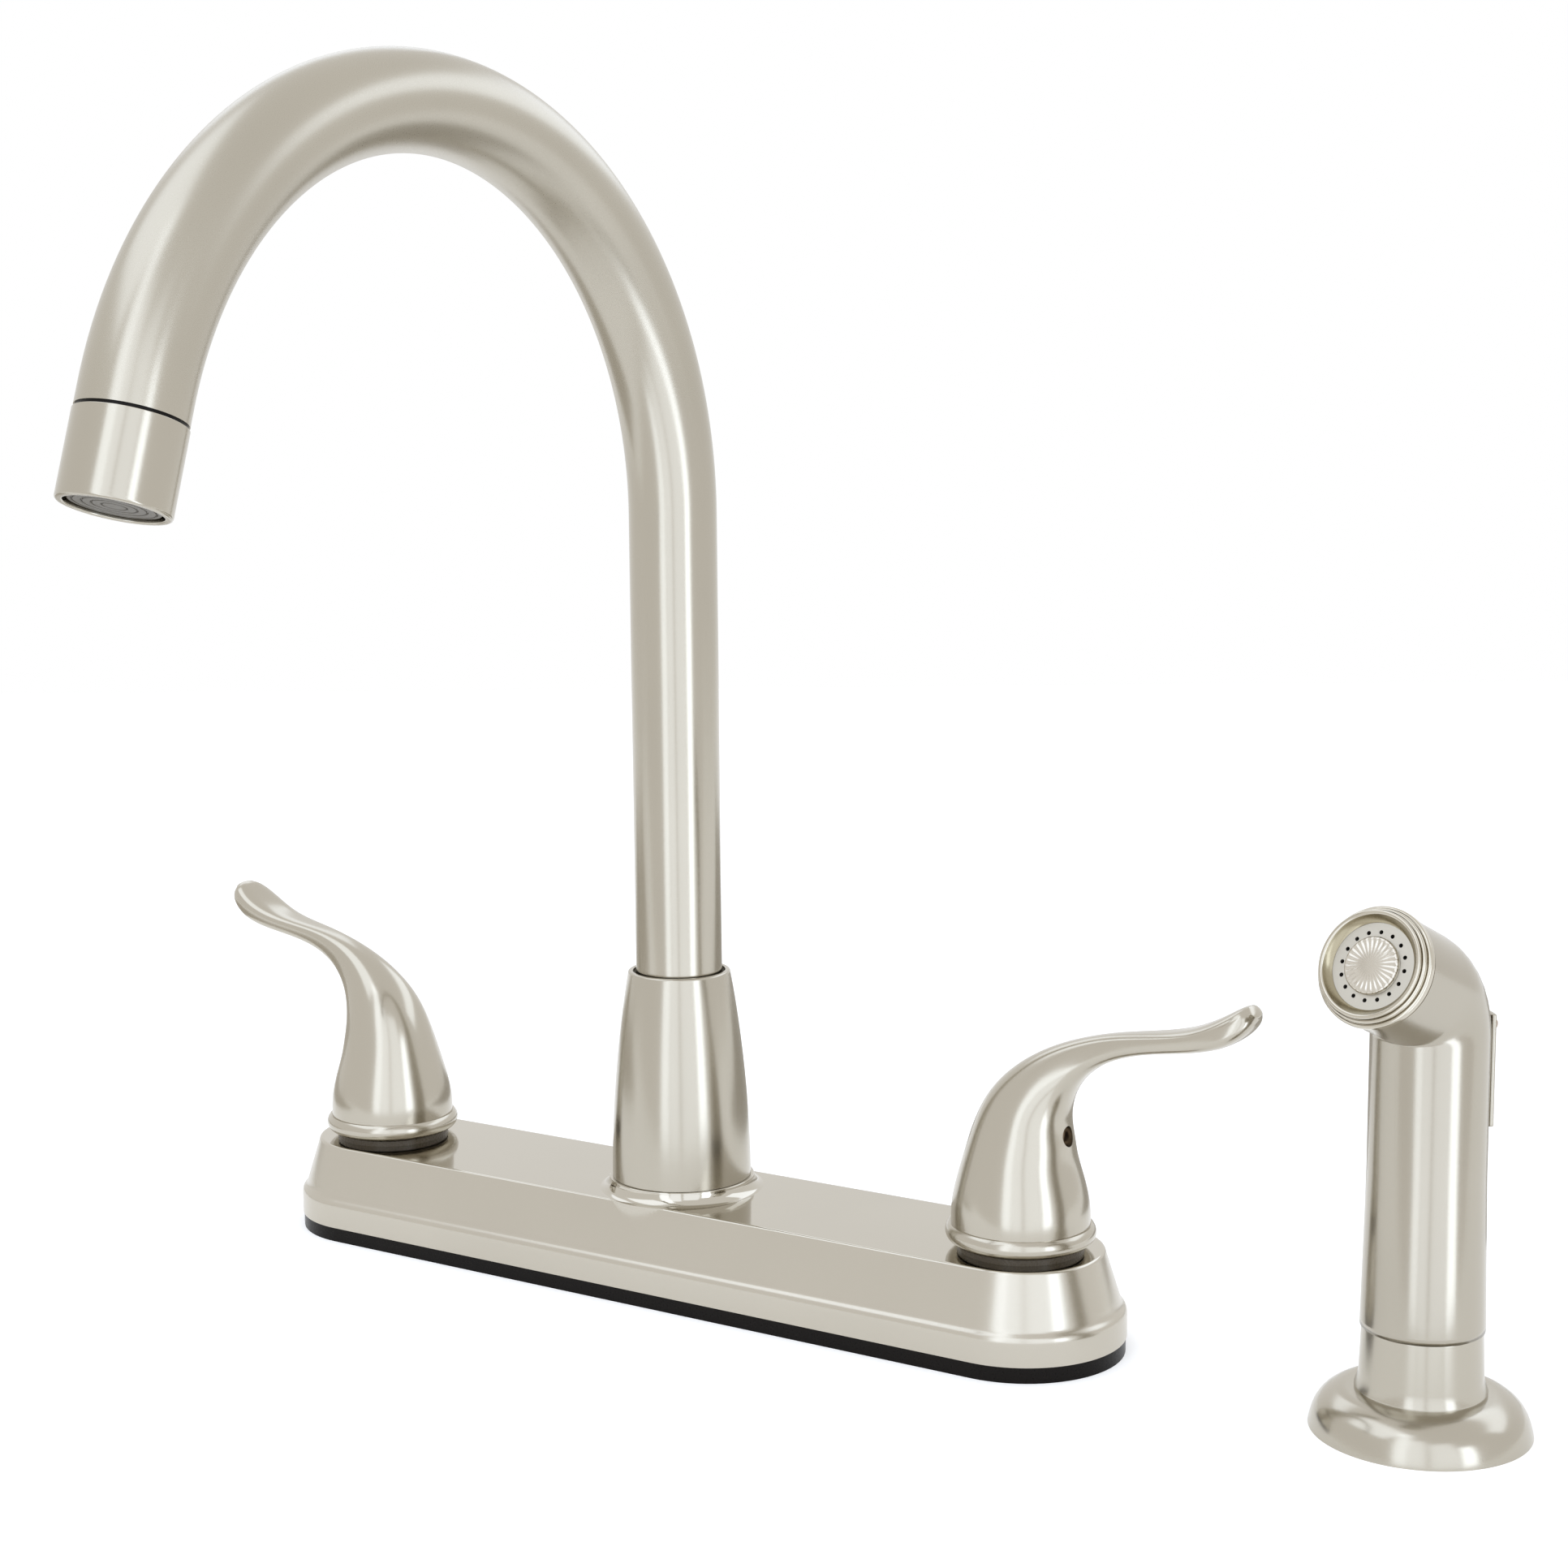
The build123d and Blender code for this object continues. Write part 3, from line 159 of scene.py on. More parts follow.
def soft_lamp(name, turn, distance, height, width, tall, brightness):
    """Rectangular soft lamp that faces the object, with its brightness as a surface."""
    lamp_data = bpy.data.lights.new(name, "AREA")
    lamp_data.shape = "RECTANGLE"
    lamp_data.size, lamp_data.size_y = width, tall
    lamp_data.energy = brightness * pi * width * tall
    lamp_data.color = lamp_colour
    lamp = bpy.data.objects.new(name, lamp_data)
    place = around(turn, distance, height)
    lamp.matrix_world = Matrix.Translation(place) @ (
        place - lamp_aim).to_track_quat("Z", "Y").to_matrix().to_4x4()
    lamp.visible_camera = False
    scene.collection.objects.link(lamp)


def grey_sheet(name, turn, distance, width, depth, brightness):
    """Grey sheet that lies on the table and shows only in reflections."""
    outwards, across = around(turn, 1, 0), around(turn + 90, 1, 0)
    sheet = studio_sheet(name, glowing(name, sheet_colour, brightness), lambda x, y: (
        outwards * (distance + x * depth / 2) + across * y * width / 2
        + Vector((0, 0, sheet_height))), ("camera", "diffuse", "transmission", "shadow"))


# each lamp's turn, distance, height, width, length and brightness
soft_lamp("lamp_left", -25, 1.3, 0.45, 0.36, 3.2, 1.1)
soft_lamp("lamp_left_fill", -8, 1.35, 0.2, 0.40, 2.6, 0.7)
soft_lamp("lamp_right", 40, 1.3, -0.15, 0.34, 1.9, 1.9)
soft_lamp("lamp_right_fill", 17, 1.35, 0.1, 0.62, 2.2, 0.65)
soft_lamp("lamp_back", 124, 1.2, 0.95, 1.9, 0.5, 0.85)
soft_lamp("lamp_back_left", -160, 1.2, 1.0, 0.8, 0.45, 0.7)
soft_lamp("lamp_above", -80, 0.75, 1.35, 1.3, 0.9, 0.8)
# each sheet's turn, distance, width, depth and brightness
grey_sheet("sheet_right", 140, 0.50, 0.42, 0.66, 0.52)
grey_sheet("sheet_left", -118, 0.58, 0.50, 0.56, 0.66)

# ---------------------------------------------------------------- pieces under the deck plate
# Brass valve bodies, the brass tee with its copper cross tubes and plastic diverter, and the
# steel washers and brass nuts that clamp the faucet under the deck. The metal is left bare.
cloud_scale, relief_depth = 28.0, 0.0002
grain_low, grain_high = 0.25, 0.75


def noise(nodes, links, place, scale, detail):
    """Soft random pattern over a place."""
    pattern = nodes.new("ShaderNodeTexNoise")
    pattern.inputs["Scale"].default_value = scale
    pattern.inputs["Detail"].default_value = detail
    links.new(place, pattern.inputs["Vector"])
    return pattern.outputs["Fac"]


def finish(name, colour, roughness, metallic=1.0, grain=0.03, grain_scale=3500,
           stretch=(1, 1, 1), shade=0.02, relief=0.02, gloss=0.5):
    """Material whose roughness, tone and relief follow a fine grain in the object's own place."""
    material = bpy.data.materials.new(name)
    material.use_nodes = True
    nodes, links = material.node_tree.nodes, material.node_tree.links
    shader = nodes["Principled BSDF"]
    shader.inputs["Metallic"].default_value = metallic
    shader.inputs["Specular IOR Level"].default_value = gloss
    place = nodes.new("ShaderNodeTexCoord")
    stretched = nodes.new("ShaderNodeMapping")
    stretched.inputs["Scale"].default_value = stretch
    links.new(place.outputs["Object"], stretched.inputs["Vector"])
    fine = noise(nodes, links, stretched.outputs["Vector"], grain_scale, detail=3.0)
    clouds = noise(nodes, links, place.outputs["Object"], cloud_scale, detail=2.0)
    rough = nodes.new("ShaderNodeMapRange")
    rough.inputs["From Min"].default_value = grain_low
    rough.inputs["From Max"].default_value = grain_high
    rough.inputs["To Min"].default_value = roughness - grain
    rough.inputs["To Max"].default_value = roughness + grain
    links.new(fine, rough.inputs["Value"])
    links.new(rough.outputs["Result"], shader.inputs["Roughness"])
    tone = nodes.new("ShaderNodeMix")
    tone.data_type = "RGBA"
    tone.inputs["A"].default_value = (*[c * (1 - shade) for c in colour], 1)
    tone.inputs["B"].default_value = (*[min(1, c * (1 + shade)) for c in colour], 1)
    links.new(clouds, tone.inputs["Factor"])
    links.new(tone.outputs["Result"], shader.inputs["Base Color"])
    bump = nodes.new("ShaderNodeBump")
    bump.inputs["Strength"].default_value = relief
    bump.inputs["Distance"].default_value = relief_depth
    links.new(fine, bump.inputs["Height"])
    links.new(bump.outputs["Normal"], shader.inputs["Normal"])
    return material


def coat(material, *names):
    """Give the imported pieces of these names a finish."""
    for name in names:
        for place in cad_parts[name].material_slots:
            place.material = material


bare_brass = finish("bare_brass", (0.60, 0.40, 0.15), 0.32, grain=0.08, grain_scale=2500,
                    stretch=(1, 1, 6), shade=0.08, relief=0.05)
drawn_copper = finish("drawn_copper", (0.66, 0.32, 0.18), 0.28, grain=0.07, grain_scale=2500,
                      stretch=(0.1, 1, 1), shade=0.1, relief=0.05)
plain_steel = finish("plain_steel", (0.52, 0.52, 0.51), 0.3, grain=0.08, grain_scale=3000,
                     stretch=(1, 1, 4), shade=0.06, relief=0.05)
moulded_grey = finish("moulded_grey", (0.105, 0.092, 0.072), 0.4, metallic=0.0, grain=0.06,
                      grain_scale=1500, shade=0.08, relief=0.1)
coat(bare_brass, "centre_body", "hot_valve_body", "cold_valve_body", "mount_nuts")
coat(drawn_copper, "hot_cross_tube", "cold_cross_tube")
coat(plain_steel, "mount_washers")
coat(moulded_grey, "diverter")

# ---------------------------------------------------------------- deck gasket
# One black rubber pad, moulded with a slight gloss, that shows as a dark line all round the
# plate's foot. It lies loose between the plate and the deck.
black_rubber = finish("black_rubber", (0.006, 0.0045, 0.0035), 0.3, metallic=0.0, grain=0.06,
                      grain_scale=1800, shade=0.3, relief=0.1, gloss=0.12)
coat(black_rubber, "deck_gasket")

# ---------------------------------------------------------------- deck plate
# Zinc casting in satin nickel with a long fine grain, its flat top polished almost to a mirror
# round a raised boss. It drops over the brass works, and the bonnet nuts and the spout's collar
# hold it down.
sharp_edge = radians(28)
valve_offset, end_steps = 101.6, 48
plate_foot, plate_top = 4.0, 25.6
plate_outside = [
    (26.3, plate_foot), (26.3, 9.6), (26.24, 10.3), (26.05, 10.9), (25.72, 11.35), (25.36, 11.7),
    (25.05, 12.1), (24.82, 12.6), (24.62, 13.2), (24.42, 13.9), (24.12, 14.9), (20.95, 24.97),
    (20.83, 25.24), (20.66, 25.43), (20.42, 25.56), (20.09, plate_top), (19.9, plate_top)]
plate_cavity = [(24.4, 1.0), (23.5, plate_foot), (17.9, 22.8)]
boss_foot, boss_top, boss_radius = 12.0, 28.9, 19.3
boss_flare, flare_sink, flare_steps = 3.0, 0.03, 10
valve_hole_radius, spout_hole_radius, drill_reach = 14.3, 14.9, 40
polish_depth, polished_share = 0.5, 0.38


def as_mesh(build, name="solid"):
    """Closed bmesh as a mesh, its faces outwards."""
    bmesh.ops.recalc_face_normals(build, faces=build.faces)
    mesh = bpy.data.meshes.new(name)
    build.to_mesh(mesh)
    build.free()
    return mesh


def put(name, build, material, body, replaced, edge=sharp_edge, straight=False):
    """Make the finished piece of a mesh: smooth, with its creases kept, riding on its body.

    A straight piece's long faces stay level between their rounded corners.
    """
    mesh = as_mesh(build, name)
    mesh.shade_smooth()
    mesh.set_sharp_from_angle(angle=edge)
    mesh.materials.append(material)
    piece = bpy.data.objects.new(name, mesh)
    scene.collection.objects.link(piece)
    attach(piece, body)
    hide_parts(*replaced)
    if straight:
        piece.modifiers.new("level_faces", "WEIGHTED_NORMAL").keep_sharp = True
    return piece


def combined(build, operation, other):
    """Solid left by joining another one to it, or by cutting it away."""
    blank, tool = (bpy.data.objects.new(name, as_mesh(solid))
                   for name, solid in (("blank", build), ("tool", other)))
    for piece in (blank, tool):
        scene.collection.objects.link(piece)
    work = blank.modifiers.new("work", "BOOLEAN")
    work.object, work.operation, work.solver = tool, operation, "EXACT"
    graph = bpy.context.evaluated_depsgraph_get()
    result = bmesh.new()
    result.from_mesh(bpy.data.meshes.new_from_object(blank.evaluated_get(graph)))
    for piece in (blank, tool):
        bpy.data.objects.remove(piece)
    return result


def round_bar(start, end, radius, sides=96):
    """Straight round bar between two points."""
    build = bmesh.new()
    bmesh.ops.create_cone(build, cap_ends=True, segments=sides, radius1=radius, radius2=radius,
                          depth=(end - start).length,
                          matrix=Matrix.Translation((start + end) / 2) @ (
                              end - start).to_track_quat("Z", "Y").to_matrix().to_4x4())
    return build


def turned(outline, place=Matrix.Identity(4), rounded=(), sides=128):
    """Solid turned from an outline of (radius, height) in mm round the place's own Z.

    A rounded corner is its number in the outline, the rounding's size in mm and its steps.
    """
    build = bmesh.new()
    corners = [build.verts.new((radius / 1000, 0, height / 1000)) for radius, height in outline]
    for start, end in zip(corners, corners[1:] + corners[:1]):
        if start.co.x > 0 or end.co.x > 0:
            build.edges.new((start, end))
    for corner, size, steps in rounded:
        bmesh.ops.bevel(build, geom=[corners[corner]], offset=size / 1000, offset_type="OFFSET",
                        segments=steps, profile=0.5, affect="VERTICES", material=-1)
    bmesh.ops.spin(build, geom=build.verts[:] + build.edges[:], cent=(0, 0, 0), axis=(0, 0, 1),
                   angle=2 * pi, steps=sides, use_merge=True, use_duplicate=False)
    bmesh.ops.remove_doubles(build, verts=build.verts, dist=1e-7)
    bmesh.ops.transform(build, matrix=place, verts=build.verts)
    return build


def next_ring(build, edges):
    """Vertices and edges of a new ring, drawn out of a skin's open end."""
    grown = bmesh.ops.extrude_edge_only(build, edges=edges)["geom"]
    ring = [g for g in grown if isinstance(g, bmesh.types.BMVert)]
    return ring, [g for g in grown if isinstance(g, bmesh.types.BMEdge)
                  and all(v in ring for v in g.verts)]


def long_slab(courses):
    """Closed slab with round ends about the two valves, from its (half width, height) rings."""
    build = bmesh.new()
    ring = bmesh.ops.create_circle(build, cap_ends=True, segments=2 * (end_steps + 1),
                                   radius=1.0)["verts"]
    edges = build.edges[:]
    for index, (half_width, height) in enumerate(courses):
        if index:
            ring, edges = next_ring(build, edges)
        for number, vertex in enumerate(ring):
            end, step = divmod(number, end_steps + 1)
            angle = pi * (step / end_steps - 0.5 + end)
            middle = valve_offset if end == 0 else -valve_offset
            vertex.co = Vector((middle + half_width * cos(angle), half_width * sin(angle),
                                height)) / 1000
    bmesh.ops.contextual_create(build, geom=edges)
    return build


def polish_by_height(material, start, end, share):
    """Let a finish's roughness go from the whole of it at one height to a share at another."""
    nodes, links = material.node_tree.nodes, material.node_tree.links
    height = nodes.new("ShaderNodeSeparateXYZ")
    links.new(nodes["Texture Coordinate"].outputs["Object"], height.inputs[0])
    course = nodes.new("ShaderNodeMapRange")
    course.inputs["From Min"].default_value = start
    course.inputs["From Max"].default_value = end
    course.inputs["To Min"].default_value = 1.0
    course.inputs["To Max"].default_value = share
    links.new(height.outputs["Z"], course.inputs["Value"])
    product = nodes.new("ShaderNodeMath")
    product.operation = "MULTIPLY"
    links.new(nodes["Map Range"].outputs["Result"], product.inputs[0])
    links.new(course.outputs["Result"], product.inputs[1])
    links.new(product.outputs[0], nodes["Principled BSDF"].inputs["Roughness"])


boss_outline = [(0, boss_foot), (boss_radius + boss_flare, boss_foot)]
for step in range(flare_steps + 1):
    turn = pi / 2 * step / flare_steps
    boss_outline.append((boss_radius + boss_flare * (1 - sin(turn)),
                         plate_top - flare_sink + boss_flare * (1 - cos(turn))))
boss_outline += [(boss_radius, boss_top), (0, boss_top)]
boss = turned(boss_outline, rounded=[(len(boss_outline) - 2, 0.25, 3)])
plate = combined(long_slab(plate_outside), "UNION", boss)
plate = combined(plate, "DIFFERENCE", long_slab(plate_cavity))
for hole_place, hole_radius in ((-valve_offset, valve_hole_radius),
                                (valve_offset, valve_hole_radius), (0, spout_hole_radius)):
    plate = combined(plate, "DIFFERENCE", round_bar(
        Vector((hole_place, 0, 0)) / 1000, Vector((hole_place, 0, drill_reach)) / 1000,
        hole_radius / 1000))
plate_nickel = finish("plate_nickel", (0.52, 0.485, 0.415), 0.24, grain_scale=4000,
                      stretch=(0.2, 1, 1), shade=0.03, relief=0.015)
polish_by_height(plate_nickel, (plate_top - polish_depth) / 1000, plate_top / 1000,
                 polished_share)
put("plate_cover", plate, plate_nickel, "deck_set", ["deck_plate"],
    straight=True)

# ---------------------------------------------------------------- valves
# White plastic cartridges with ceramic discs on rubber seats, turned by brass stems. The black
# moulded nuts that hold them down show as a dark ring under each handle.
black_plastic = finish("black_plastic", (0.09, 0.072, 0.05), 0.28, metallic=0.0, grain=0.06,
                       grain_scale=1500, shade=0.1, relief=0.05, gloss=0.3)
white_ceramic = finish("white_ceramic", (0.80, 0.78, 0.74), 0.22, metallic=0.0, grain=0.05,
                       grain_scale=1200, shade=0.04, relief=0.03)
white_plastic = finish("white_plastic", (0.74, 0.74, 0.71), 0.42, metallic=0.0, grain=0.06,
                       grain_scale=1500, shade=0.03, relief=0.08)
coat(black_plastic, "hot_bonnet_nut", "cold_bonnet_nut")
coat(white_ceramic, "hot_fixed_disc", "cold_fixed_disc", "hot_moving_disc", "cold_moving_disc")
coat(white_plastic, "hot_cartridge", "cold_cartridge")
coat(black_rubber, "hot_seat_seal", "cold_seat_seal")
coat(bare_brass, "hot_stem", "cold_stem")

# ---------------------------------------------------------------- lever handles
# Each is one casting in polished satin nickel: a bead at the foot, a bell over the stem, and a
# neck that leans out into a lever with a flat, upturned end. A set screw at the back holds it.
valve_place = {"hot": -valve_offset / 1000, "cold": valve_offset / 1000}
lever_facing = {"hot": radians(175.0), "cold": radians(-1.0)}
handle_foot = 27.3
bead_radius, bead_thickness, bead_steps = 16.03, 2.6, 16
cavity_radius, cavity_top = 14.2, 36.0
stem_hole_radius, stem_hole_top = 4.03, 57.8
screw_height, screw_hole_radius, screw_hole_start, screw_hole_end = 55.3, 2.53, 3, 30
round_section = 2
# reach, height, lean in degrees, half width, half depth and squareness of the lever's sections,
# which are ellipses at 2 and grow squarer above it
lever_sections = (
    (0.0, 32.0, 0.0, 17.20, 17.20, 2.0), (0.0, 37.0, 0.0, 17.05, 17.05, 2.0),
    (0.0, 43.0, 0.5, 15.75, 15.75, 2.0), (0.2, 49.5, 4.0, 13.90, 13.90, 2.0),
    (1.2, 55.6, 12.0, 12.25, 12.55, 2.0), (2.8, 61.2, 22.6, 10.90, 10.80, 2.0),
    (5.8, 66.3, 35.5, 8.95, 8.60, 2.15), (10.3, 71.3, 48.5, 6.70, 6.35, 2.4),
    (17.1, 76.0, 62.5, 4.85, 4.30, 2.7), (26.2, 79.6, 73.5, 4.05, 3.05, 3.0),
    (36.5, 81.7, 78.5, 4.60, 2.55, 3.2), (45.3, 83.4, 75.5, 5.75, 2.75, 3.2),
    (52.4, 85.8, 66.5, 6.55, 3.30, 3.0), (57.0, 88.5, 58.0, 6.15, 3.20, 2.8),
    (59.6, 90.7, 51.0, 4.95, 2.60, 2.6), (60.6, 91.9, 47.0, 3.20, 1.80, 2.4),
)
section_sides, steps_between = 64, 6
tip_round, tip_steps, tip_turn = 0.7, 5, radians(80)


def smooth_course(rows, steps):
    """Evenly bending course through rows of values, with steps from each row to the next."""
    count = len(rows)
    pulled = []
    for index, row in enumerate(rows):
        before, after = rows[max(index - 1, 0)], rows[min(index + 1, count - 1)]
        bend = 0 if index in (0, count - 1) else 1
        pulled.append([v - bend * (b - 2 * v + a) / 6 for b, v, a in zip(before, row, after)])
    first = [2 * v - n for v, n in zip(pulled[0], pulled[1])]
    last = [2 * v - n for v, n in zip(pulled[-1], pulled[-2])]
    pulled = [first, *pulled, last]
    course = []
    for index in range(1, count):
        for step in range(steps):
            t = step / steps
            shares = ((1 - t) ** 3 / 6, (3 * t ** 3 - 6 * t ** 2 + 4) / 6,
                      (-3 * t ** 3 + 3 * t ** 2 + 3 * t + 1) / 6, t ** 3 / 6)
            course.append([sum(s * v for s, v in zip(shares, column))
                           for column in zip(*pulled[index - 1:index + 3])])
    return course + [list(rows[-1])]


def handle_rings():
    """Rings of the whole handle, from the stem's hole down the cavity and up to the lever's end."""
    rings = [(0, height, 0, radius, radius, round_section) for height, radius in (
        (stem_hole_top, stem_hole_radius), (cavity_top, stem_hole_radius),
        (cavity_top, cavity_radius), (handle_foot, cavity_radius))]
    bead_overhang = lever_sections[0][3] - bead_radius
    bead_end = degrees(atan2(sqrt(bead_thickness ** 2 - bead_overhang ** 2), bead_overhang))
    for k in range(bead_steps):
        turn = radians(-90 + (bead_end + 90) * k / bead_steps)
        radius = bead_radius + bead_thickness * cos(turn)
        height = handle_foot + bead_thickness * (1 + sin(turn))
        rings.append((0, height, 0, radius, radius, round_section))
    rings += smooth_course(lever_sections, steps_between)
    reach, height, lean, half_width, half_depth, square = lever_sections[-1]
    for k in range(1, tip_steps + 1):
        turn = tip_turn * k / tip_steps
        rings.append((reach + tip_round * sin(turn) * sin(radians(lean)),
                      height + tip_round * sin(turn) * cos(radians(lean)), lean,
                      half_width * cos(turn), half_depth * cos(turn), square))
    return rings


handle_nickel = finish("handle_nickel", (0.475, 0.44, 0.37), 0.2, relief=0.015)
for side in ("hot", "cold"):
    outward = Vector((cos(lever_facing[side]), sin(lever_facing[side]), 0))
    sideways = Vector((-outward.y, outward.x, 0))
    stem_axis = Vector((valve_place[side], 0, 0))
    build = bmesh.new()
    ring = bmesh.ops.create_circle(build, cap_ends=True, segments=section_sides,
                                   radius=1.0)["verts"]
    angles = [atan2(v.co.y, v.co.x) for v in ring]
    edges = build.edges[:]
    for index, (reach, height, lean, half_width, half_depth, square) in enumerate(handle_rings()):
        if index:
            ring, edges = next_ring(build, edges)
        tilt = radians(lean)
        through = outward * cos(tilt) - Vector((0, 0, sin(tilt)))
        centre = stem_axis + (outward * reach + Vector((0, 0, height))) / 1000
        for vertex, angle in zip(ring, angles):
            c, s = cos(angle), sin(angle)
            across = half_width * abs(c) ** (2 / square) * (1 if c >= 0 else -1)
            deep = half_depth * abs(s) ** (2 / square) * (1 if s >= 0 else -1)
            vertex.co = centre + (sideways * across + through * deep) / 1000
    bmesh.ops.contextual_create(build, geom=edges)
    screw_axis = stem_axis + Vector((0, 0, screw_height / 1000))
    drilled = combined(build, "DIFFERENCE", round_bar(
        screw_axis + outward * screw_hole_start / 1000,
        screw_axis + outward * screw_hole_end / 1000, screw_hole_radius / 1000, sides=40))
    put(f"{side}_lever_handle", drilled, handle_nickel, f"{side}_handle_set",
        [f"{side}_handle"], edge=radians(35))
dark_steel = finish("dark_steel", (0.42, 0.33, 0.26), 0.3, grain=0.08, grain_scale=3000,
                    stretch=(1, 1, 4), shade=0.1, relief=0.05)
coat(dark_steel, "hot_set_screw", "cold_set_screw")

# ---------------------------------------------------------------- spout collar
# Turned in satin nickel with a swelling taper, and screwed down over the spout's flange; the
# tube turns in its mouth. It stands on a thin black seal, which its lip hides but for a line.
collar_foot_radius, collar_waist_radius, collar_top_radius = 18.5, 17.13, 13.5
collar_seat, collar_waist, collar_top, collar_side_steps = 29.5, 57.0, 84.5, 16
lip_foot, lip_inner_radius = 28.97, 18.26
chamber_radius, chamber_top = 15.53, 47.0
tube_way_radius, tube_way_top, mouth_radius = 12.6, 74.0, 12.2


def arc_through(start, middle, end, steps):
    """Points of (radius, height) along the round arc through three of them."""
    (x1, y1), (x2, y2), (x3, y3) = start, middle, end
    scale = 2 * (x1 * (y2 - y3) + x2 * (y3 - y1) + x3 * (y1 - y2))
    squares = [x * x + y * y for x, y in (start, middle, end)]
    cx = (squares[0] * (y2 - y3) + squares[1] * (y3 - y1) + squares[2] * (y1 - y2)) / scale
    cy = (squares[0] * (x3 - x2) + squares[1] * (x1 - x3) + squares[2] * (x2 - x1)) / scale
    radius = sqrt((x1 - cx) ** 2 + (y1 - cy) ** 2)
    first, last = atan2(y1 - cy, x1 - cx), atan2(y3 - cy, x3 - cx)
    turn = (last - first + pi) % (2 * pi) - pi
    return [(cx + radius * cos(first + turn * k / steps),
             cy + radius * sin(first + turn * k / steps)) for k in range(steps + 1)]


nickel_tone = (0.458, 0.424, 0.355)
satin_nickel = finish("satin_nickel", nickel_tone, 0.2, shade=0.03)
collar_side = arc_through((collar_foot_radius, collar_seat), (collar_waist_radius, collar_waist),
                          (collar_top_radius, collar_top), collar_side_steps)
collar = turned([(chamber_radius, collar_seat), (lip_inner_radius, collar_seat),
                 (lip_inner_radius, lip_foot), (collar_foot_radius, lip_foot), *collar_side,
                 (mouth_radius, collar_top), (mouth_radius, tube_way_top),
                 (tube_way_radius, tube_way_top), (tube_way_radius, chamber_top),
                 (chamber_radius, chamber_top)],
                rounded=[(len(collar_side) + 3, 0.55, 5), (len(collar_side) + 4, 0.25, 3)])
put("spout_taper", collar, satin_nickel, "deck_set", ["spout_collar"],
    straight=True)
coat(black_rubber, "collar_seal")

# ---------------------------------------------------------------- spout tube
# Thin-walled tube in satin nickel: an upright riser, one round arch over the sink, and a short
# straight tail. It is bent from one length, and turns in the collar on a brass seat with rubber
# rings and a plastic guide.
tube_radius, tube_bore, tube_sides = 11.4, 10.46, 112
tube_foot, riser_top, riser_steps = 46.9, 204.5, 8
arch_radius, arch_angle, arch_steps = 94.2, radians(162.2), 96
tube_tail = 4.2
arch_end = Vector((0, -arch_radius * (1 - cos(arch_angle)),
                   riser_top + arch_radius * sin(arch_angle))) / 1000
outlet_direction = Vector((0, -sin(arch_angle), cos(arch_angle)))


def drawn_on(build, edges, step):
    """Next stretch of a tube: its end pulled on by a step."""
    ring, edges = next_ring(build, edges)
    bmesh.ops.translate(build, verts=ring, vec=step)
    return edges


build = bmesh.new()
for radius in (tube_radius, tube_bore):
    bmesh.ops.create_circle(build, segments=tube_sides, radius=radius / 1000,
                            matrix=Matrix.Translation((0, 0, tube_foot / 1000)))
foot_edges = end_edges = build.edges[:]
for _ in range(riser_steps):
    end_edges = drawn_on(build, end_edges,
                         Vector((0, 0, (riser_top - tube_foot) / 1000 / riser_steps)))
end_verts = list({v for e in end_edges for v in e.verts})
bend = bmesh.ops.spin(build, geom=end_edges + end_verts,
                      cent=(0, -arch_radius / 1000, riser_top / 1000), axis=(1, 0, 0),
                      angle=arch_angle, steps=arch_steps, use_merge=False, use_duplicate=False)
end_edges = [g for g in bend["geom_last"] if isinstance(g, bmesh.types.BMEdge)]
end_edges = drawn_on(build, end_edges, outlet_direction * tube_tail / 1000)
bmesh.ops.bridge_loops(build, edges=foot_edges)
bmesh.ops.bridge_loops(build, edges=end_edges)
# the bending leaves the arch a little duller than the riser
arch_nickel = finish("arch_nickel", nickel_tone, 0.2, shade=0.05)
polish_by_height(arch_nickel, start=0.20, end=0.27, share=1.5)
put("spout_arch", build, arch_nickel, "spout_set", ["spout_tube"])
coat(bare_brass, "spout_base")
coat(black_rubber, "spout_rings")
coat(white_plastic, "spout_guide")

# ---------------------------------------------------------------- aerator
# Nickel sleeve screwed in the tube's end against a thin black seal, with a steel screen and a
# grey plastic insert whose face has four fine round grooves.
outlet = Matrix.Translation(arch_end) @ Matrix(
    (Vector((1, 0, 0)), outlet_direction.cross(Vector((1, 0, 0))),
     outlet_direction)).transposed().to_4x4()
sleeve_start, sleeve_shoulder, sleeve_end = 0.3, 4.9, 23.3
thread_radius, sleeve_radius, sleeve_mouth_radius = 10.43, 11.58, 9.95
inlet_radius, inlet_depth, screen_radius, screen_depth = 8.3, 7.9, 9.3, 12.0
insert_back, insert_step, insert_face = 9.3, 12.2, 22.6
insert_back_radius, insert_radius = 9.25, 9.35
groove_radii = (8.3, 6.4, 4.5, 2.5)
groove_half_mouth, groove_half_floor, groove_depth = 0.25, 0.1, 0.3
sleeve = turned([(inlet_radius, sleeve_start), (thread_radius, sleeve_start),
                 (thread_radius, sleeve_shoulder), (sleeve_radius, sleeve_shoulder),
                 (sleeve_radius, sleeve_end), (sleeve_mouth_radius, sleeve_end),
                 (sleeve_mouth_radius, screen_depth), (screen_radius, screen_depth),
                 (screen_radius, inlet_depth), (inlet_radius, inlet_depth)], outlet,
                rounded=[(4, 0.6, 5), (5, 0.35, 4), (3, 0.15, 2)])
put("aerator_sleeve", sleeve, satin_nickel, "spout_set", ["aerator_housing"],
    straight=True)
coat(black_rubber, "aerator_seal")
coat(plain_steel, "aerator_screen")
insert_outline = [(0, insert_back), (insert_back_radius, insert_back),
                  (insert_back_radius, insert_step), (insert_radius, insert_step),
                  (insert_radius, insert_face)]
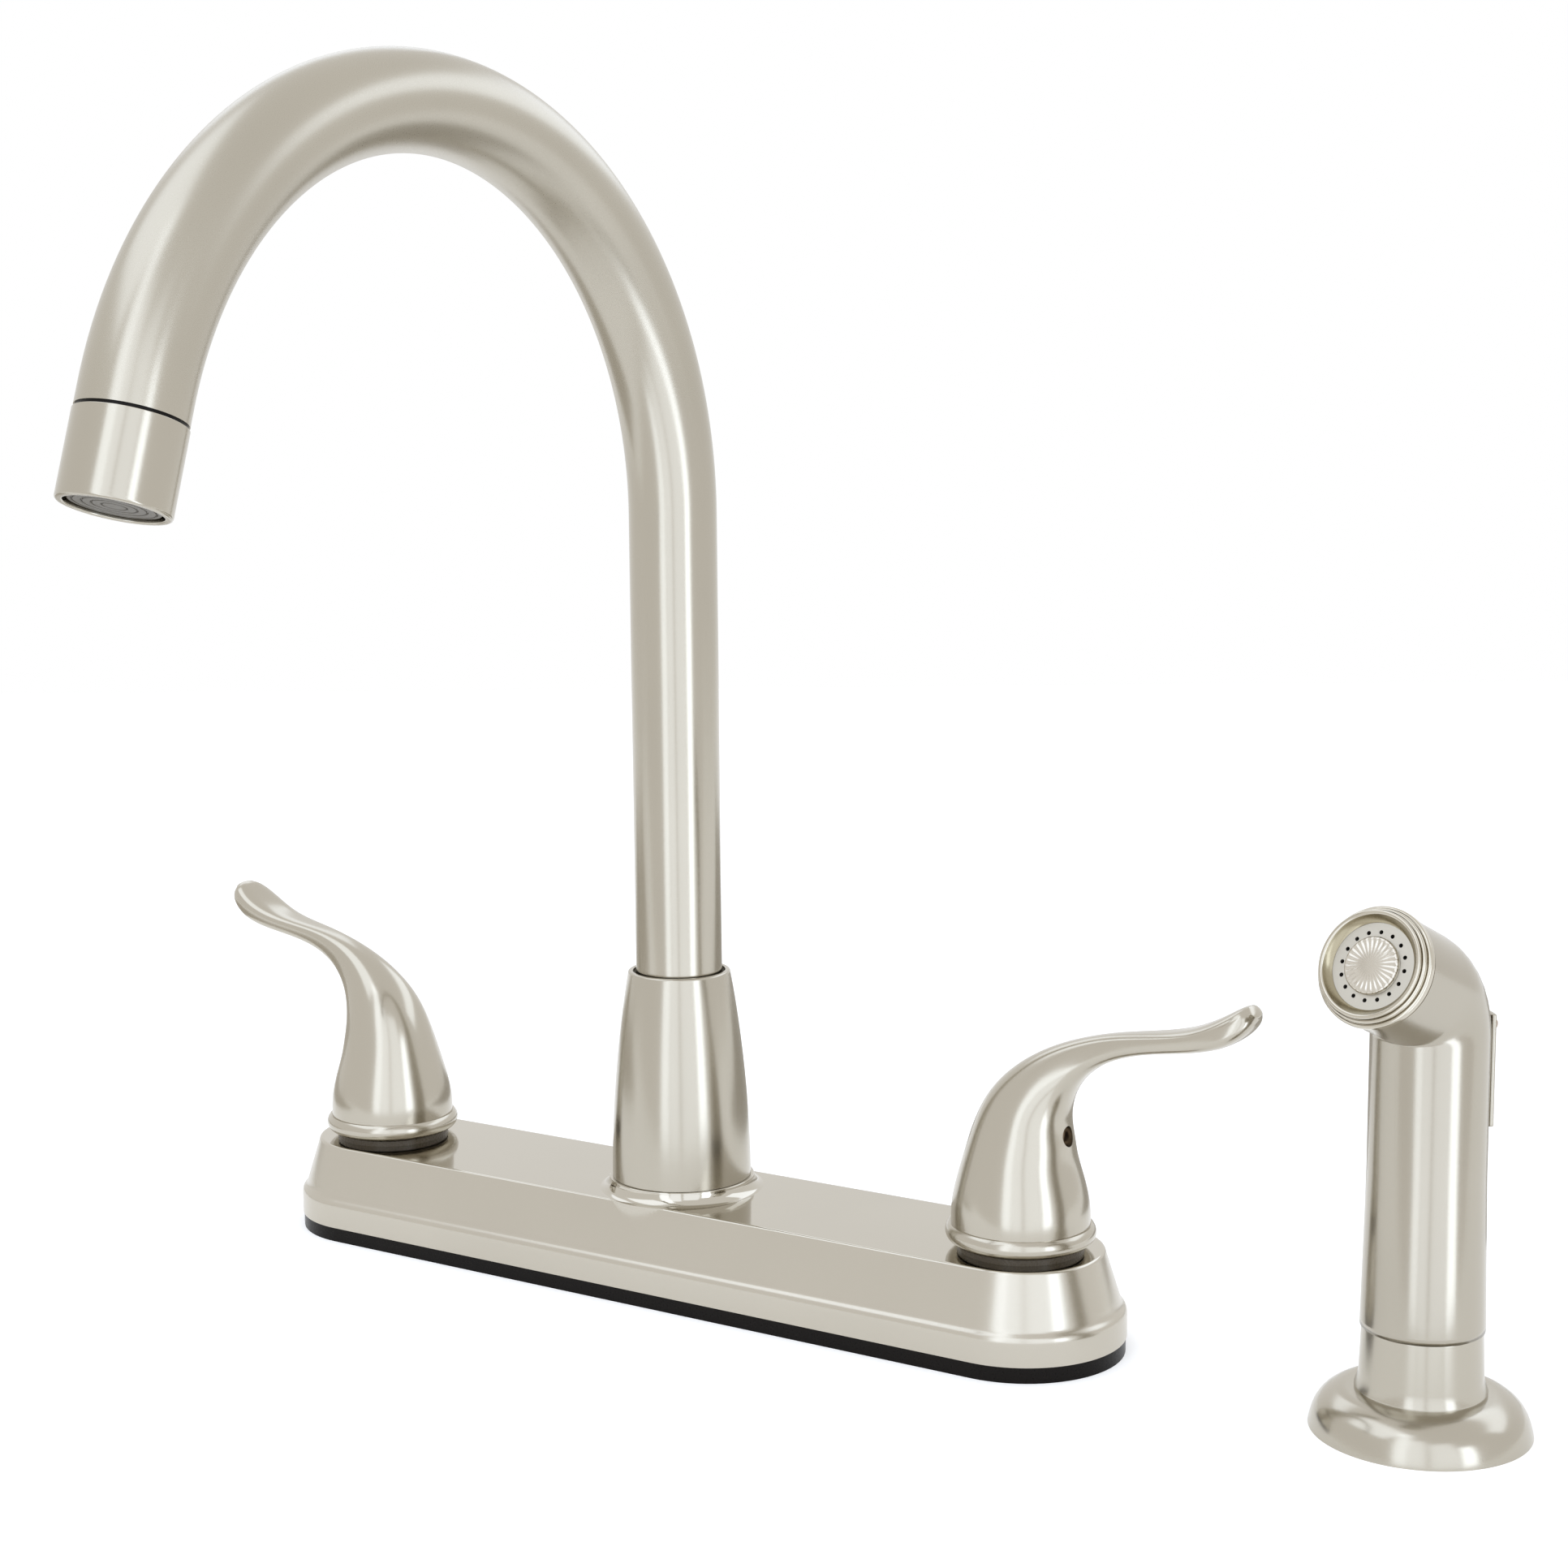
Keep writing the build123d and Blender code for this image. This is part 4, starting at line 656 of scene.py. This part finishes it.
for groove in groove_radii:
    insert_outline += [(groove + groove_half_mouth, insert_face),
                       (groove + groove_half_floor, insert_face - groove_depth),
                       (groove - groove_half_floor, insert_face - groove_depth),
                       (groove - groove_half_mouth, insert_face)]
insert_outline.append((0, insert_face))
put("aerator_face", turned(insert_outline, outlet, rounded=[(4, 0.3, 3)]), moulded_grey,
    "spout_set", ["aerator_insert"], edge=radians(50))

# ---------------------------------------------------------------- spray flange and holder
# A domed nickel flange round the fourth hole of the deck, and a turned cup on it with a
# threaded shank through both, under which a washer and a nut hold them. The cup holds the
# sprayer by its foot.
spray_place = Matrix.Translation((2 * valve_offset / 1000, 0, 0))
flange_top, flange_bore = 9.2, 12.3
flange_side = [(25.0, 0), (24.85, 0.9), (24.55, 2.1), (24.2, 3.3), (23.7, 4.5), (22.95, 5.75),
               (21.9, 6.95), (20.6, 7.95), (19.1, 8.7), (17.8, 9.05), (16.5, flange_top)]
cup_side = [(13.5, 24.08), (13.95, 12.6), (14.8, 10.0), (14.8, flange_top)]
cup_bore, shank_radius, shank_bore, shank_foot = 10.5, 12.0, 9.3, -40.0
flange = turned([(flange_bore, 0), *flange_side, (flange_bore, flange_top)], spray_place)
put("spray_deck_flange", flange, satin_nickel, "deck_set", ["spray_flange"],
    straight=True)
holder = turned([(cup_bore, cup_side[0][1]), *cup_side, (shank_radius, flange_top),
                 (shank_radius, shank_foot), (shank_bore, shank_foot), (shank_bore, flange_top),
                 (cup_bore, flange_top)], spray_place, rounded=[(1, 0.25, 3)])
put("spray_cup", holder, satin_nickel, "deck_set", ["spray_holder"],
    straight=True)
coat(plain_steel, "holder_washer")
coat(bare_brass, "holder_nut")

# ---------------------------------------------------------------- sprayer
# Hand sprayer with a tapered grip, a bent neck and a round nozzle, plated to match the faucet.
# It stands loose in the holder, and a brass coupling in its foot takes the hose.
wand_nickel = finish("wand_nickel", (0.432, 0.398, 0.332), 0.2, shade=0.04)
wand = bmesh.new()
wand.from_mesh(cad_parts["sprayer_body"].data)
bmesh.ops.remove_doubles(wand, verts=wand.verts, dist=1e-6)
put("spray_wand", wand, wand_nickel, "sprayer_set", ["sprayer_body"])
coat(bare_brass, "hose_coupling")

# ---------------------------------------------------------------- spray bezel
# Stepped ring in bright nickel that screws on the nozzle and holds its face. The funnel inside
# it has a darker, warmer nickel: painted shade and painted reflection of its hollow.
spray_facing, nozzle_rise, elbow_height = radians(-102), radians(23.7), 99.9
spray_out = Vector((cos(spray_facing), sin(spray_facing), 0))
nozzle_out = spray_out * cos(nozzle_rise) + Vector((0, 0, sin(nozzle_rise)))
nozzle_side = Vector((-spray_out.y, spray_out.x, 0))
nozzle = spray_place @ Matrix.Translation((0, 0, elbow_height / 1000)) @ Matrix(
    (nozzle_side, nozzle_out.cross(nozzle_side), nozzle_out)).transposed().to_4x4()
bezel_outline = [
    (8.7, 19.0), (10.27, 19.0), (10.27, 24.0), (12.9, 24.0), (12.9, 24.6), (13.6, 24.8),
    (13.6, 26.4), (13.05, 26.6), (12.9, 26.35), (12.82, 26.35), (12.82, 27.7), (12.35, 27.85),
    (12.2, 27.55), (12.12, 27.55), (12.12, 29.0), (11.2, 29.0), (10.9, 28.3), (10.3, 27.3),
    (9.7, 26.9), (9.7, 25.4), (8.7, 25.4)]
funnel_radius, funnel_low, funnel_high = 11.3, 26.6, 28.6
polished_nickel = finish("polished_nickel", (0.54, 0.50, 0.42), 0.13, grain_scale=3000,
                         relief=0.01)
# painted shade: a darker, warmer copy of the nickel for the funnel's shaded, reflecting wall
funnel_painted_shade = finish("funnel_painted_shade", (0.36, 0.315, 0.215), 0.22, grain=0.04,
                       grain_scale=3000, shade=0.04, relief=0.01)
bezel = put("spray_bezel", turned(bezel_outline, nozzle, rounded=[
    (5, 0.35, 4), (6, 0.4, 4), (10, 0.35, 4), (14, 0.4, 4), (15, 0.3, 3)]), polished_nickel,
    "sprayer_set", ["sprayer_bezel"], edge=radians(40), straight=True)
bezel.data.materials.append(funnel_painted_shade)
# faces inside the funnel take the painted shade material
to_nozzle = nozzle.inverted()
for face in bezel.data.polygons:
    middle = to_nozzle @ face.center * 1000
    if funnel_low < middle.z < funnel_high and middle.xy.length < funnel_radius:
        face.material_index = 1

# ---------------------------------------------------------------- spray face and cap
# Satin disc with a ring of small spray holes, and on its middle a pale round cap whose rim is
# moulded with fine ribs. Both are plated plastic.
cap_outline = [
    (0, 22.8), (6.35, 22.8), (6.35, 26.9), (6.45, 26.9), (6.45, 27.6), (6.15, 27.95), (5.8, 28.02),
    (5.4, 28.06), (5.0, 28.08), (4.5, 28.1), (4.0, 28.12), (3.5, 28.14), (3.0, 28.15),
    (2.0, 28.18), (1.0, 28.2), (0, 28.2)]
rib_count, steps_per_rib, ribs_above = 28, 6, 27.9
rib_inner, rib_outer, rib_edge, rib_edge_fade, rib_depth = 2.8, 4.6, 6.1, 0.5, 0.2
cap = turned(cap_outline, sides=rib_count * steps_per_rib)
for vertex in cap.verts:
    radius = vertex.co.xy.length * 1000
    if vertex.co.z * 1000 > ribs_above:
        deep = (min(max((radius - rib_inner) / (rib_outer - rib_inner), 0), 1)
                * min(max((rib_edge - radius) / rib_edge_fade, 0), 1))
        wave = 0.5 - 0.5 * cos(rib_count * atan2(vertex.co.y, vertex.co.x))
        vertex.co.z -= rib_depth * deep * wave / 1000
bmesh.ops.transform(cap, matrix=nozzle, verts=cap.verts)
pale_nickel = finish("pale_nickel", (0.60, 0.56, 0.49), 0.24, grain_scale=3000, relief=0.01)
put("spray_ribbed_cap", cap, pale_nickel, "sprayer_set", ["spray_cap"],
    edge=radians(50))
face_nickel = finish("face_nickel", (0.60, 0.575, 0.515), 0.36, grain=0.05, grain_scale=3000,
                     relief=0.03)
coat(face_nickel, "spray_face")

# ---------------------------------------------------------------- trigger and its valve
# Long thin shell in satin nickel, let into the grip's back and hung on a steel cross pin. It
# presses a white plastic plunger in a rubber gland against a steel spring.
trigger_outside, trigger_inside, trigger_shift = 13.9, 12.7, 1.2
trigger_low, trigger_high, trigger_spread = 70.1, 95.9, radians(47)
trigger_arc_steps, trigger_edge, trigger_edge_steps = 20, 0.45, 4
section = []
for radius, way in ((trigger_outside, 1), (trigger_inside, -1)):
    for step in range(trigger_arc_steps + 1):
        turn = way * trigger_spread * (2 * step / trigger_arc_steps - 1)
        reach = trigger_shift * cos(turn) + sqrt(radius ** 2 - (trigger_shift * sin(turn)) ** 2)
        section.append((-reach * cos(turn), reach * sin(turn)))
build = bmesh.new()
corners = [build.verts.new((x / 1000, y / 1000, trigger_low / 1000)) for x, y in section]
for start, end in zip(corners, corners[1:] + corners[:1]):
    build.edges.new((start, end))
foot = bmesh.ops.contextual_create(build, geom=build.edges[:])["faces"]
top = bmesh.ops.extrude_face_region(build, geom=foot)["geom"]
bmesh.ops.translate(build, verts=[g for g in top if isinstance(g, bmesh.types.BMVert)],
                    vec=(0, 0, (trigger_high - trigger_low) / 1000))
bmesh.ops.transform(build, matrix=spray_place @ Matrix.Rotation(spray_facing, 4, "Z"),
                    verts=build.verts)
trigger = put("spray_trigger", build, wand_nickel, "trigger_lever", ["trigger"])
rounding = trigger.modifiers.new("rounding", "BEVEL")
rounding.width, rounding.segments = trigger_edge / 1000, trigger_edge_steps
rounding.limit_method, rounding.angle_limit = "ANGLE", radians(40)
coat(dark_steel, "trigger_pin")
coat(white_plastic, "valve_plunger")
coat(plain_steel, "valve_spring")
coat(black_rubber, "plunger_gland")
